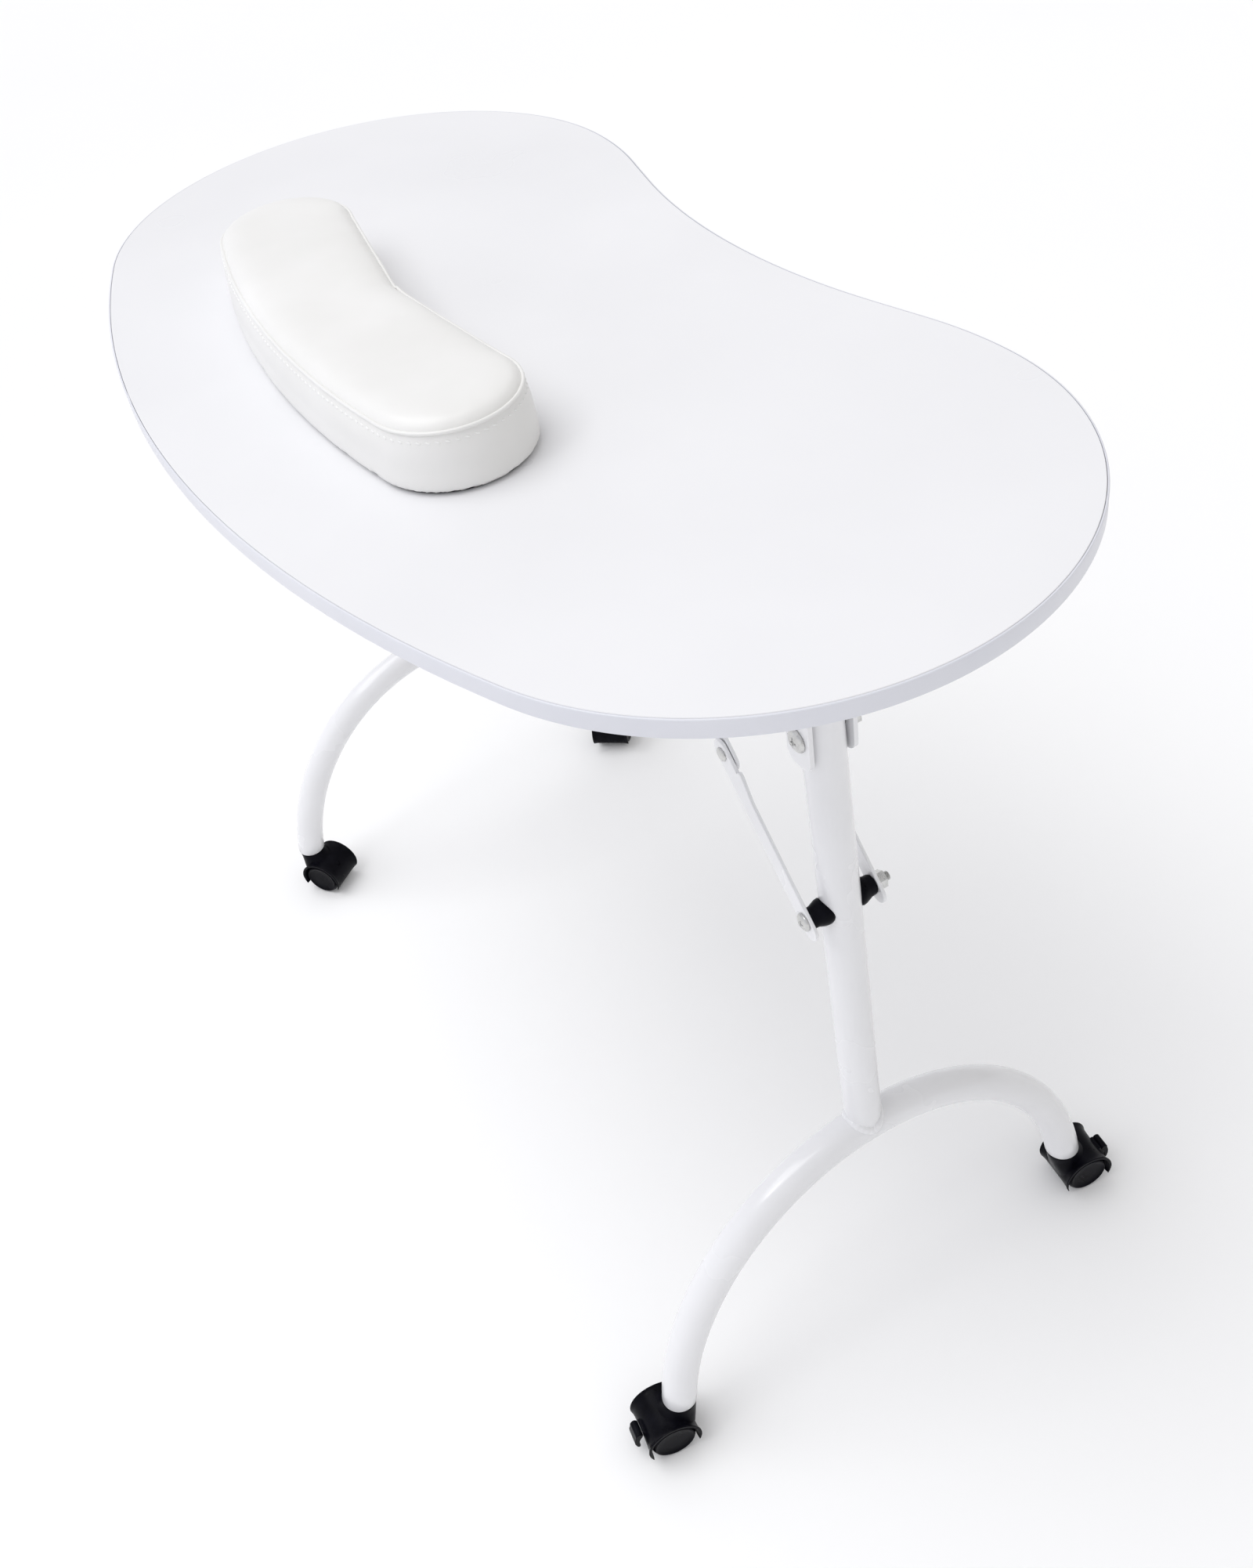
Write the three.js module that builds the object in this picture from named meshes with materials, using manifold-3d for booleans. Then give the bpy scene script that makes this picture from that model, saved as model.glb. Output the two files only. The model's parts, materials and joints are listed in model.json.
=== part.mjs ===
// Folding manicure table: a kidney-shaped top on two folding T-legs with arched feet and casters.
// Millimetres, +Z up. The origin is on the floor, under the middle of the table's outer box.
// +X runs along the table's length to the near leg, and +Y points to the hollow, the technician's side.
import * as THREE from 'three';
import { mergeVertices } from 'three/addons/utils/BufferGeometryUtils.js';
import Module from 'manifold-3d';

const wasm = await Module();
wasm.setup();

const rad = THREE.MathUtils.degToRad;

// ---------------------------------------------------------------- driving dimensions
const TABLE_HEIGHT = 711;
const BOARD_THICKNESS = 12.7;
const BAND_THICKNESS = 1.2;
const BAND_DROP = 0.2;              // the band stops this far short of both faces of the board
const FIT_GAP = 0.3;                // gap kept between pieces that touch

// The board: one convex front, a round lobe at each end and a shallow hollow at the back.
const BOARD = {
  frontY: -235.5, frontRadius: 887, frontSweep: rad(21.7), lobeRadius: 205,
  shoulderRadius: 290, shoulderSweep: rad(14), hollowRadius: 580, arcStep: rad(5.5),
};

// The wrist cushion: a bean with a pinched notch at the middle of its hollow side.
const CUSHION = {
  frontY: -52, frontRadius: 745, frontSweep: rad(12.3), lobeRadius: 48,
  shoulderRadius: 48, shoulderSweep: rad(7.4), hollowRadius: 20, arcStep: rad(12),
};
const CUSHION_X = -39;
const CUSHION_Y = -90.5;
const CUSHION_TURN = rad(-3.3);
const CUSHION_BASE_HEIGHT = 4;
const CUSHION_BASE_SETBACK = 1.5;   // the base board stops this far inside the pad's lower edge
// Height above the board and inset from the seam line, from the base up to the crown.
const CUSHION_LEVELS = [[4.3, -4.5], [24, -4], [40, 0], [45.5, 6], [48.5, 20]];

// Legs. Each leg leans outward from its pivot to the floor.
const LEG_Y = 4.5;
const LEG_LEAN = rad(2.95);
const TUBE_RADIUS = 13.5;
const TUBE_WALL = 1.5;
const POST_ABOVE_PIVOT = 20;
const ARCH_HALF_SPAN = 190.2;
const ARCH_RISE = 218.4;
const ARCH_CENTRE_HEIGHT = 12.1;
const ARCH_STEPS = 26;
const ARCH_SIDES = 12;
const TUBE_END_HEIGHT = 46;
const LEGS = {
  near: { side: 1, baseX: 377, pivotHeight: 596, lowerLink: 116.4, upperLink: 194.8 },
  far: { side: -1, baseX: 367, pivotHeight: 648, lowerLink: 100, upperLink: 211.2 },
};

// Leg brackets: an inverted U with two ears that hold the pivot bolt.
const EAR_INNER = 14;
const EAR_THICKNESS = 3;
const EAR_HALF_WIDTH = 11.5;
const EAR_BELOW_PIVOT = 20;
const EAR_CORNER = 8;
const BRACKET_PLATE = { length: 84, width: 56, thickness: 2.5 };

// Folding stays: a lower and an upper link on each side of the post.
const STAY_BELOW_PIVOT = 141.3;
const ANCHOR_DROP = 14.3;           // anchor pin below the board
const LINK_HALF_WIDTH = 7.25;
const LINK_THICKNESS = 2.5;
const UPPER_LINK_INNER = 21.8;
const LOWER_LINK_INNER = 25;
const LINK_END_REACH = 10;
const UPPER_ELBOW_REACH = 13;
const ANCHOR_EAR_INNER = 18;
const ANCHOR_EAR_RADIUS = 9;
const ANCHOR_PLATE_HALF = 26;

// Fasteners: shank radius, head radius, head height.
const PIVOT_BOLT = { shank: 4, head: 8, headHeight: 3.5, nut: 7.5, nutHeight: 6, tail: 2.5 };
const STAY_BOLT = { shank: 3.2, head: 6.5, headHeight: 3, nut: 6.4, nutHeight: 5.5, tail: 4.5 };
const RIVET = { shank: 2.6, head: 5, headHeight: 1.8 };
const ANCHOR_PIN = { shank: 3, head: 5, headHeight: 2 };
const SPACER_RADIUS = 7.2;

// Casters, twin wheels under a hood that swivels on a stem.
const WHEEL_RADIUS = 18;
const WHEEL_OUTER = 19;
const WHEEL_INNER = 5.5;
const CASTER_TRAIL = 15;
const HOOD_RADIUS = 21.8;
const HOOD_HALF_WIDTH = 20;
const HOOD_TIP_ANGLE = rad(22);
const WELL_CLEARANCE = 0.8;
const WEB_HALF_WIDTH = 5.1;
const BOSS_RADIUS = 11.5;
const STEM_RADIUS = 4;
const STEM_LENGTH = 26;
const STEM_SOCKET = 12;
const STEM_POINT = 2;
const WHEEL_EDGE = 1.2;
const AXLE_RADIUS = 2.2;
const AXLE_HALF_LENGTH = 15;
const CASTER_HEADINGS = {
  near_front: rad(-99), near_back: rad(82), far_front: rad(36), far_back: rad(-40),
};
const BRAKED = ['near_front', 'near_back'];
const LEVER = { pivotX: 38.6, pivotZ: 25, knuckle: 2.4, halfWidth: 7, drop: 14.5, bulge: 5.2 };

// ---------------------------------------------------------------- finishes
const finish = (color, roughness, metalness = 0) => ({ color, roughness, metalness });
const LAMINATE = finish(0xf0f0f2, 0.35);
const EDGE_PLASTIC = finish(0xd6d8e0, 0.4);
const WHITE_LEATHER = finish(0xf2f1ec, 0.5);
const DARK_BASE = finish(0x2a2a2e, 0.7);
const WHITE_PAINT = finish(0xe8e8ee, 0.3, 0.1);
const BLACK_PLASTIC = finish(0x141418, 0.45);
const BRIGHT_STEEL = finish(0xb8b8ba, 0.3, 1);

const DRILL_REACH = 60;             // half length of a rod that drills right through a piece
const TRIM = 40;                    // size of the block that trims a bracket flush with the board

const table = new THREE.Group();

function addMesh(parent, name, geometry, look) {
  const mesh = new THREE.Mesh(geometry, new THREE.MeshStandardMaterial({ ...look }));
  mesh.name = name;
  parent.add(mesh);
  return mesh;
}

// ---------------------------------------------------------------- solids
function signedVolume(position, index) {
  const [a, b, c] = [new THREE.Vector3(), new THREE.Vector3(), new THREE.Vector3()];
  let total = 0;
  for (let i = 0; i < index.length; i += 3) {
    a.fromBufferAttribute(position, index[i]);
    b.fromBufferAttribute(position, index[i + 1]);
    c.fromBufferAttribute(position, index[i + 2]);
    total += a.dot(b.cross(c));
  }
  return total;
}

// A closed, welded copy of a geometry with its faces pointing out.
function solid(geometry) {
  const bare = new THREE.BufferGeometry();
  bare.setAttribute('position', geometry.getAttribute('position').clone());
  if (geometry.index) {
    bare.setIndex(geometry.index.clone());
  }
  const welded = mergeVertices(bare, 1e-3);
  const position = welded.getAttribute('position');
  const corners = Array.from(welded.index.array);
  const kept = [];
  for (let i = 0; i < corners.length; i += 3) {
    const [a, b, c] = corners.slice(i, i + 3);
    if (a !== b && b !== c && c !== a) {
      kept.push(a, b, c);
    }
  }
  if (signedVolume(position, kept) < 0) {
    kept.reverse();
  }
  const vertProperties = new Float32Array(position.array);
  const triVerts = new Uint32Array(kept);
  return new wasm.Manifold(new wasm.Mesh({ numProp: 3, vertProperties, triVerts }));
}

function geometryOf(body) {
  const mesh = body.getMesh();
  const geometry = new THREE.BufferGeometry();
  geometry.setAttribute('position', new THREE.BufferAttribute(new Float32Array(mesh.vertProperties), 3));
  geometry.setIndex(Array.from(mesh.triVerts));
  return geometry;
}

function join(first, ...rest) {
  return geometryOf(rest.reduce((body, other) => body.add(solid(other)), solid(first)));
}

function cut(first, ...tools) {
  return geometryOf(tools.reduce((body, tool) => body.subtract(solid(tool)), solid(first)));
}

// A solid of revolution about the Y axis from [radius, y] pairs.
function turned(profile, sides = 16) {
  return new THREE.LatheGeometry(profile.map(([r, y]) => new THREE.Vector2(r, y)), sides);
}

// A round rod along Y between two y values.
function rodY(radius, y0, y1, sides = 12) {
  return turned([[0, y0], [radius, y0], [radius, y1], [0, y1]], sides);
}

// The rod that drills a hole along Y through the point at x and z.
function drillY(radius, x = 0, z = 0) {
  return moved(rodY(radius + FIT_GAP, -DRILL_REACH, DRILL_REACH), x, 0, z);
}

function moved(geometry, x, y, z) {
  return geometry.clone().translate(x, y, z);
}

function block(x0, x1, y0, y1, z0, z1) {
  const box = new THREE.BoxGeometry(x1 - x0, y1 - y0, z1 - z0);
  return box.translate((x0 + x1) / 2, (y0 + y1) / 2, (z0 + z1) / 2);
}

// A shape drawn in X and Z, extruded along Y from y0 to y1.
function plateXZ(shape, y0, y1, curveSegments = 6) {
  const geometry = new THREE.ExtrudeGeometry(shape, { depth: y1 - y0, bevelEnabled: false, curveSegments });
  return geometry.rotateX(Math.PI / 2).translate(0, y1, 0);
}

// ---------------------------------------------------------------- kidney outlines
// Walks the right half of a bean outline from the middle of its front to the middle of its hollow,
// then mirrors it. Every arc is inset by the same distance, so the outlines of one bean are parallel.
function beanOutline(bean, inset = 0) {
  const { frontY, frontRadius, frontSweep, lobeRadius, arcStep } = bean;
  const { shoulderRadius, shoulderSweep, hollowRadius } = bean;
  const lobeSweep = Math.PI - frontSweep;
  const lobeX = (frontRadius - lobeRadius) * Math.sin(frontSweep);
  const shoulderX = lobeX - shoulderRadius * Math.sin(shoulderSweep);
  const straight = (shoulderX - hollowRadius * Math.sin(shoulderSweep)) / Math.cos(shoulderSweep);
  const points = [new THREE.Vector2(0, frontY + inset)];
  let heading = 0;

  function walkStraight(length, direction) {
    const last = points[points.length - 1];
    const step = new THREE.Vector2(Math.cos(direction), Math.sin(direction)).multiplyScalar(length);
    points.push(step.add(last));
  }

  function walkArc(radius, sweep) {
    const steps = Math.ceil(Math.abs(sweep) / arcStep);
    const turn = sweep / steps;
    const chord = 2 * radius * Math.sin(Math.abs(turn) / 2);
    for (let i = 0; i < steps; i += 1) {
      walkStraight(chord, heading + turn / 2);
      heading += turn;
    }
  }

  walkArc(frontRadius - inset, frontSweep);
  walkArc(lobeRadius - inset, lobeSweep);
  walkArc(shoulderRadius - inset, shoulderSweep);
  walkStraight(straight, heading);
  walkArc(hollowRadius + inset, -shoulderSweep);
  const mirrored = points.slice(1, -1).reverse().map((p) => new THREE.Vector2(-p.x, p.y));
  points[points.length - 1].x = 0;
  return [...points, ...mirrored];
}

// A closed solid through parallel outlines of one bean, given as [height, inset] pairs. The first and
// last outlines are capped, or joined to each other when the profile is a loop.
function beanSolid(bean, profile, loop = false) {
  const rings = profile.map(([height, inset]) => beanOutline(bean, inset).map((p) => [p.x, p.y, height]));
  const count = rings[0].length;
  const index = [];
  const bands = loop ? rings.length : rings.length - 1;
  for (let level = 0; level < bands; level += 1) {
    const [low, high] = [level * count, ((level + 1) % rings.length) * count];
    for (let i = 0; i < count; i += 1) {
      const next = (i + 1) % count;
      index.push(low + i, low + next, high + next, low + i, high + next, high + i);
    }
  }
  if (!loop) {
    const last = (rings.length - 1) * count;
    const flat = (ring) => ring.map(([x, y]) => new THREE.Vector2(x, y));
    for (const [a, b, c] of THREE.ShapeUtils.triangulateShape(flat(rings[0]), [])) {
      index.push(c, b, a);
    }
    for (const [a, b, c] of THREE.ShapeUtils.triangulateShape(flat(rings[rings.length - 1]), [])) {
      index.push(last + a, last + b, last + c);
    }
  }
  const geometry = new THREE.BufferGeometry();
  geometry.setAttribute('position', new THREE.Float32BufferAttribute(rings.flat(2), 3));
  geometry.setIndex(index);
  return geometryOf(solid(geometry));
}

// ---------------------------------------------------------------- tabletop
function addTabletop() {
  const underside = TABLE_HEIGHT - BOARD_THICKNESS;
  const core = BAND_THICKNESS + FIT_GAP;
  const board = beanSolid(BOARD, [[underside, core], [TABLE_HEIGHT, core]]);
  addMesh(table, 'tabletop_board', board, LAMINATE);

  const [low, high] = [underside + BAND_DROP, TABLE_HEIGHT - BAND_DROP];
  const ring = [[low, 0], [high, 0], [high, BAND_THICKNESS], [low, BAND_THICKNESS]];
  addMesh(table, 'edge_band', beanSolid(BOARD, ring, true), EDGE_PLASTIC);
}

function addCushion() {
  const place = new THREE.Group();
  place.position.set(CUSHION_X, CUSHION_Y, TABLE_HEIGHT);
  place.rotation.z = CUSHION_TURN;
  table.add(place);
  const baseInset = CUSHION_LEVELS[0][1] + CUSHION_BASE_SETBACK;
  const base = beanSolid(CUSHION, [[FIT_GAP, baseInset], [CUSHION_BASE_HEIGHT, baseInset]]);
  addMesh(place, 'cushion_base', base, DARK_BASE);
  addMesh(place, 'wrist_cushion', beanSolid(CUSHION, CUSHION_LEVELS), WHITE_LEATHER);
}

// ---------------------------------------------------------------- legs
class ArchCurve extends THREE.Curve {
  constructor(firstAngle) {
    super();
    this.firstAngle = firstAngle;
  }

  getPoint(t, target = new THREE.Vector3()) {
    const angle = this.firstAngle + t * (Math.PI - 2 * this.firstAngle);
    return target.set(0, ARCH_HALF_SPAN * Math.cos(angle), ARCH_CENTRE_HEIGHT + ARCH_RISE * Math.sin(angle));
  }
}

function circlePoints(radius, sides) {
  return Array.from({ length: sides }, (_, i) => {
    const angle = (2 * Math.PI * i) / sides;
    return new THREE.Vector2(radius * Math.cos(angle), radius * Math.sin(angle));
  });
}

function archTube(radius, boreRadius = 0) {
  const section = new THREE.Shape(circlePoints(radius, ARCH_SIDES));
  if (boreRadius > 0) {
    section.holes.push(new THREE.Path(circlePoints(boreRadius, 8)));
  }
  const overrun = 8;
  const lowest = (TUBE_END_HEIGHT - overrun - ARCH_CENTRE_HEIGHT) / ARCH_RISE;
  const path = new ArchCurve(Math.asin(lowest));
  return new THREE.ExtrudeGeometry(section, { steps: ARCH_STEPS, extrudePath: path, bevelEnabled: false });
}

// The foot arch, with its ends cut level where the casters plug in.
function footArch() {
  const halfSpan = 1.5 * ARCH_HALF_SPAN;
  const floorBlock = block(-TRIM, TRIM, -halfSpan, halfSpan, -TRIM, TUBE_END_HEIGHT).rotateY(LEG_LEAN);
  return cut(archTube(TUBE_RADIUS, TUBE_RADIUS - TUBE_WALL), floorBlock);
}

// The straight tube, saddle-cut over the arch and cross-drilled for the pivot and stay bolts.
function legPost(pivotZ) {
  const bottom = ARCH_CENTRE_HEIGHT + ARCH_RISE;
  const top = pivotZ + POST_ABOVE_PIVOT;
  const bore = TUBE_RADIUS - TUBE_WALL;
  const wall = [[bore, bottom], [TUBE_RADIUS, bottom], [TUBE_RADIUS, top], [bore, top], [bore, bottom]];
  const tube = turned(wall).rotateX(Math.PI / 2);
  const pivotHole = drillY(PIVOT_BOLT.shank, 0, pivotZ);
  const stayHole = drillY(STAY_BOLT.shank, 0, pivotZ - STAY_BELOW_PIVOT);
  return cut(tube, archTube(TUBE_RADIUS + FIT_GAP), pivotHole, stayHole);
}

// A bolt along Y: a domed head outside -grip, and a plain tail past the nut at +grip.
function boltY(sizes, grip) {
  const { shank, head, headHeight, nutHeight, tail } = sizes;
  const seat = -(grip + FIT_GAP);
  const end = grip + FIT_GAP + nutHeight + tail;
  const rim = 0.4 * headHeight;
  return turned([
    [0, seat - headHeight], [0.55 * head, seat - 0.85 * headHeight], [head, seat - rim], [head, seat],
    [shank, seat], [shank, end - 1], [shank - 0.8, end], [0, end],
  ], 12);
}

// A hexagon nut on the tail of the bolt.
function nutY(sizes, grip) {
  const seat = grip + FIT_GAP;
  const hexagon = rodY(sizes.nut, seat, seat + sizes.nutHeight, 6);
  return cut(hexagon, drillY(sizes.shank));
}

// A flat link in X and Z from one hole to another, with round ends that reach past the holes.
function linkShape(length, angle, startReach, endReach, startHole, endHole) {
  const half = LINK_HALF_WIDTH;
  const shape = new THREE.Shape();
  const startX = half - startReach;
  const endX = length + endReach - half;
  shape.absarc(startX, 0, half, Math.PI / 2, 1.5 * Math.PI);
  shape.absarc(endX, 0, half, -Math.PI / 2, Math.PI / 2);
  for (const [x, radius] of [[0, startHole], [length, endHole]]) {
    const hole = new THREE.Path();
    hole.absarc(x, 0, radius, 0, 2 * Math.PI);
    shape.holes.push(hole);
  }
  const turn = (p) => new THREE.Vector2(p.x, p.y).rotateAround(new THREE.Vector2(), angle);
  const { shape: outline, holes } = shape.extractPoints(5);
  const turned2d = new THREE.Shape(outline.map(turn));
  turned2d.holes = holes.map((points) => new THREE.Path(points.slice(0, -1).map(turn)));
  return turned2d;
}

// The bracket under the board: a plate and two ears with rounded lower corners.
function legBracket(pivotX, pivotZ, underside) {
  const low = pivotZ - EAR_BELOW_PIVOT;
  const [left, right] = [pivotX - EAR_HALF_WIDTH, pivotX + EAR_HALF_WIDTH];
  const ear = new THREE.Shape();
  ear.moveTo(left, underside - 1);
  ear.lineTo(left, low + EAR_CORNER);
  ear.absarc(left + EAR_CORNER, low + EAR_CORNER, EAR_CORNER, Math.PI, 1.5 * Math.PI);
  ear.absarc(right - EAR_CORNER, low + EAR_CORNER, EAR_CORNER, -Math.PI / 2, 0);
  ear.lineTo(right, underside - 1);
  const outer = EAR_INNER + EAR_THICKNESS;
  const { length, width, thickness } = BRACKET_PLATE;
  const plate = bracketPlate(pivotX, length / 2, width / 2, thickness, underside);
  const joined = join(plate, plateXZ(ear, -outer, -EAR_INNER), plateXZ(ear, EAR_INNER, outer));
  return cut(joined, trimBlock(pivotX, underside), drillY(PIVOT_BOLT.shank, pivotX, pivotZ));
}

// The plate of a bracket, flat against the board.
function bracketPlate(x, halfLength, halfWidth, thickness, underside) {
  const top = underside - FIT_GAP;
  return block(x - halfLength, x + halfLength, -halfWidth, halfWidth, top - thickness, top);
}

// What trims the ears flush with the top of their plate.
function trimBlock(x, underside) {
  return block(x - TRIM, x + TRIM, -TRIM, TRIM, underside - FIT_GAP, underside + TRIM);
}

// The small bracket that holds the upper links' pin.
function anchorBracket(x, z, underside) {
  const [inner, outer] = [ANCHOR_EAR_INNER, ANCHOR_EAR_INNER + LINK_THICKNESS];
  const ear = new THREE.Shape();
  ear.moveTo(x - ANCHOR_EAR_RADIUS, underside - 1);
  ear.absarc(x, z, ANCHOR_EAR_RADIUS, Math.PI, 2 * Math.PI);
  ear.lineTo(x + ANCHOR_EAR_RADIUS, underside - 1);
  const plate = bracketPlate(x, ANCHOR_PLATE_HALF, outer, LINK_THICKNESS, underside);
  const joined = join(plate, plateXZ(ear, -outer, -inner), plateXZ(ear, inner, outer));
  return cut(joined, trimBlock(x, underside), drillY(ANCHOR_PIN.shank, x, z));
}

function anchorPin() {
  const { shank, head, headHeight } = ANCHOR_PIN;
  const seat = UPPER_LINK_INNER + LINK_THICKNESS + FIT_GAP;
  return turned([
    [0, -seat - headHeight], [head, -seat - 0.5 * headHeight], [head, -seat], [shank, -seat],
    [shank, seat], [head, seat], [head, seat + 0.5 * headHeight], [0, seat + headHeight],
  ], 12);
}

// A saddle-cut sleeve between the post and the lower link, on the +Y side.
function spacer() {
  const sleeve = rodY(SPACER_RADIUS, TUBE_RADIUS / 2, LOWER_LINK_INNER - FIT_GAP, 16);
  const saddle = rodY(TUBE_RADIUS + FIT_GAP, -DRILL_REACH, DRILL_REACH, 16).rotateX(Math.PI / 2);
  return cut(sleeve, saddle, drillY(STAY_BOLT.shank));
}

// A rivet whose shank ends inside the lower link, so that the fold can open there.
function elbowRivet() {
  const outer = LOWER_LINK_INNER + LINK_THICKNESS;
  const { shank, head, headHeight } = RIVET;
  const seat = outer + FIT_GAP;
  return turned([
    [0, LOWER_LINK_INNER], [shank, LOWER_LINK_INNER], [shank, seat], [head, seat],
    [head, seat + 0.4 * headHeight], [0.5 * head, seat + headHeight], [0, seat + headHeight],
  ], 12);
}

// One link on each side of the post, at the same distance from it.
function addLinkPair(parent, name, shape, inner, x, z, [front, back]) {
  const outer = inner + LINK_THICKNESS;
  addMesh(parent, `${name}_${back}`, moved(plateXZ(shape, inner, outer), x, 0, z), WHITE_PAINT);
  addMesh(parent, `${name}_${front}`, moved(plateXZ(shape, -outer, -inner), x, 0, z), WHITE_PAINT);
}

function addLeg(name, { side, baseX, pivotHeight, lowerLink, upperLink }) {
  const underside = TABLE_HEIGHT - BOARD_THICKNESS;
  const upright = new THREE.Group();
  upright.position.set(side * baseX, LEG_Y, 0);
  upright.rotation.z = side > 0 ? 0 : Math.PI;
  table.add(upright);
  const leaning = new THREE.Group();
  leaning.rotation.y = -LEG_LEAN;
  upright.add(leaning);

  // Names follow the table, so the far leg, which is turned about, swaps front and back.
  const front = side > 0 ? 'front' : 'back';
  const back = side > 0 ? 'back' : 'front';

  const pivotZ = pivotHeight / Math.cos(LEG_LEAN);
  const pivotX = -pivotHeight * Math.tan(LEG_LEAN);
  addMesh(leaning, `${name}_foot_arch`, footArch(), WHITE_PAINT);
  addMesh(leaning, `${name}_leg_post`, legPost(pivotZ), WHITE_PAINT);
  addMesh(upright, `${name}_leg_bracket`, legBracket(pivotX, pivotHeight, underside), WHITE_PAINT);
  const grip = EAR_INNER + EAR_THICKNESS;
  addMesh(leaning, `${name}_pivot_bolt`, moved(boltY(PIVOT_BOLT, grip), 0, 0, pivotZ), BRIGHT_STEEL);
  addMesh(leaning, `${name}_pivot_nut`, moved(nutY(PIVOT_BOLT, grip), 0, 0, pivotZ), BRIGHT_STEEL);

  // The stay bolt, on the post, with its spacers.
  const stayZ = pivotZ - STAY_BELOW_PIVOT;
  const stayGrip = LOWER_LINK_INNER + LINK_THICKNESS;
  addMesh(leaning, `${name}_stay_bolt`, moved(boltY(STAY_BOLT, stayGrip), 0, 0, stayZ), BRIGHT_STEEL);
  addMesh(leaning, `${name}_stay_nut`, moved(nutY(STAY_BOLT, stayGrip), 0, 0, stayZ), BRIGHT_STEEL);
  const backSpacer = spacer();
  const frontSpacer = backSpacer.clone().rotateZ(Math.PI);
  addMesh(leaning, `${name}_spacer_${back}`, moved(backSpacer, 0, 0, stayZ), BLACK_PLASTIC);
  addMesh(leaning, `${name}_spacer_${front}`, moved(frontSpacer, 0, 0, stayZ), BLACK_PLASTIC);

  // The links stand in one straight line at rest, from the stay bolt to the anchor pin.
  const stayX = -stayZ * Math.sin(LEG_LEAN);
  const stayHeight = stayZ * Math.cos(LEG_LEAN);
  const anchorHeight = underside - ANCHOR_DROP;
  const rise = Math.asin((anchorHeight - stayHeight) / (lowerLink + upperLink));
  const angle = Math.PI - rise;
  const elbowX = stayX + lowerLink * Math.cos(angle);
  const elbowHeight = stayHeight + lowerLink * Math.sin(angle);
  const anchorX = elbowX + upperLink * Math.cos(angle);
  const [stayHole, rivetHole, pinHole] = [STAY_BOLT, RIVET, ANCHOR_PIN].map((pin) => pin.shank + FIT_GAP);
  const lower = linkShape(lowerLink, angle, LINK_END_REACH, LINK_END_REACH, stayHole, rivetHole);
  const upper = linkShape(upperLink, angle, UPPER_ELBOW_REACH, LINK_HALF_WIDTH, rivetHole, pinHole);
  addLinkPair(upright, `${name}_lower_link`, lower, LOWER_LINK_INNER, stayX, stayHeight, [front, back]);
  addLinkPair(upright, `${name}_upper_link`, upper, UPPER_LINK_INNER, elbowX, elbowHeight, [front, back]);
  const rivet = elbowRivet();
  addMesh(upright, `${name}_rivet_${back}`, moved(rivet, elbowX, 0, elbowHeight), BRIGHT_STEEL);
  const frontRivet = rivet.clone().rotateZ(Math.PI);
  addMesh(upright, `${name}_rivet_${front}`, moved(frontRivet, elbowX, 0, elbowHeight), BRIGHT_STEEL);
  addMesh(upright, `${name}_stay_bracket`, anchorBracket(anchorX, anchorHeight, underside), WHITE_PAINT);
  addMesh(upright, `${name}_stay_pin`, moved(anchorPin(), anchorX, 0, anchorHeight), BRIGHT_STEEL);
}

// ---------------------------------------------------------------- casters
// In a caster's own frame the stem stands at the origin and the wheels trail towards +X.
function casterHood() {
  const dome = new THREE.Shape();
  dome.absarc(CASTER_TRAIL, WHEEL_RADIUS, HOOD_RADIUS, -HOOD_TIP_ANGLE, Math.PI + HOOD_TIP_ANGLE);
  const body = plateXZ(dome, -HOOD_HALF_WIDTH, HOOD_HALF_WIDTH, 12);
  const boss = rodY(BOSS_RADIUS, WHEEL_RADIUS, TUBE_END_HEIGHT - FIT_GAP, 16).rotateX(Math.PI / 2);
  const wellRadius = WHEEL_RADIUS + WELL_CLEARANCE;
  const wells = [WEB_HALF_WIDTH, -WEB_HALF_WIDTH - DRILL_REACH].map((y) => (
    moved(rodY(wellRadius, y, y + DRILL_REACH, 24), CASTER_TRAIL, 0, WHEEL_RADIUS)
  ));
  const axleHole = drillY(AXLE_RADIUS, CASTER_TRAIL, WHEEL_RADIUS);
  const socket = rodY(STEM_RADIUS + FIT_GAP, TUBE_END_HEIGHT - STEM_SOCKET, 2 * TUBE_END_HEIGHT);
  return cut(join(body, boss), ...wells, axleHole, socket.rotateX(Math.PI / 2));
}

function casterStem() {
  const foot = TUBE_END_HEIGHT - STEM_SOCKET + FIT_GAP;
  const top = TUBE_END_HEIGHT + STEM_LENGTH;
  const tip = STEM_RADIUS - STEM_POINT;
  const profile = [[0, foot], [STEM_RADIUS, foot], [STEM_RADIUS, top - STEM_POINT], [tip, top], [0, top]];
  return turned(profile, 12).rotateX(Math.PI / 2);
}

// A wheel on the +Y side of the web, with a blind hub that covers the end of the axle.
function casterWheel() {
  const hub = AXLE_RADIUS + FIT_GAP;
  const blind = AXLE_HALF_LENGTH + FIT_GAP;
  const profile = [
    [0, blind], [hub, blind], [hub, WHEEL_INNER], [WHEEL_RADIUS, WHEEL_INNER],
    [WHEEL_RADIUS, WHEEL_OUTER - WHEEL_EDGE], [WHEEL_RADIUS - WHEEL_EDGE, WHEEL_OUTER], [0, WHEEL_OUTER],
  ];
  return moved(turned(profile, 24), CASTER_TRAIL, 0, WHEEL_RADIUS);
}

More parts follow.
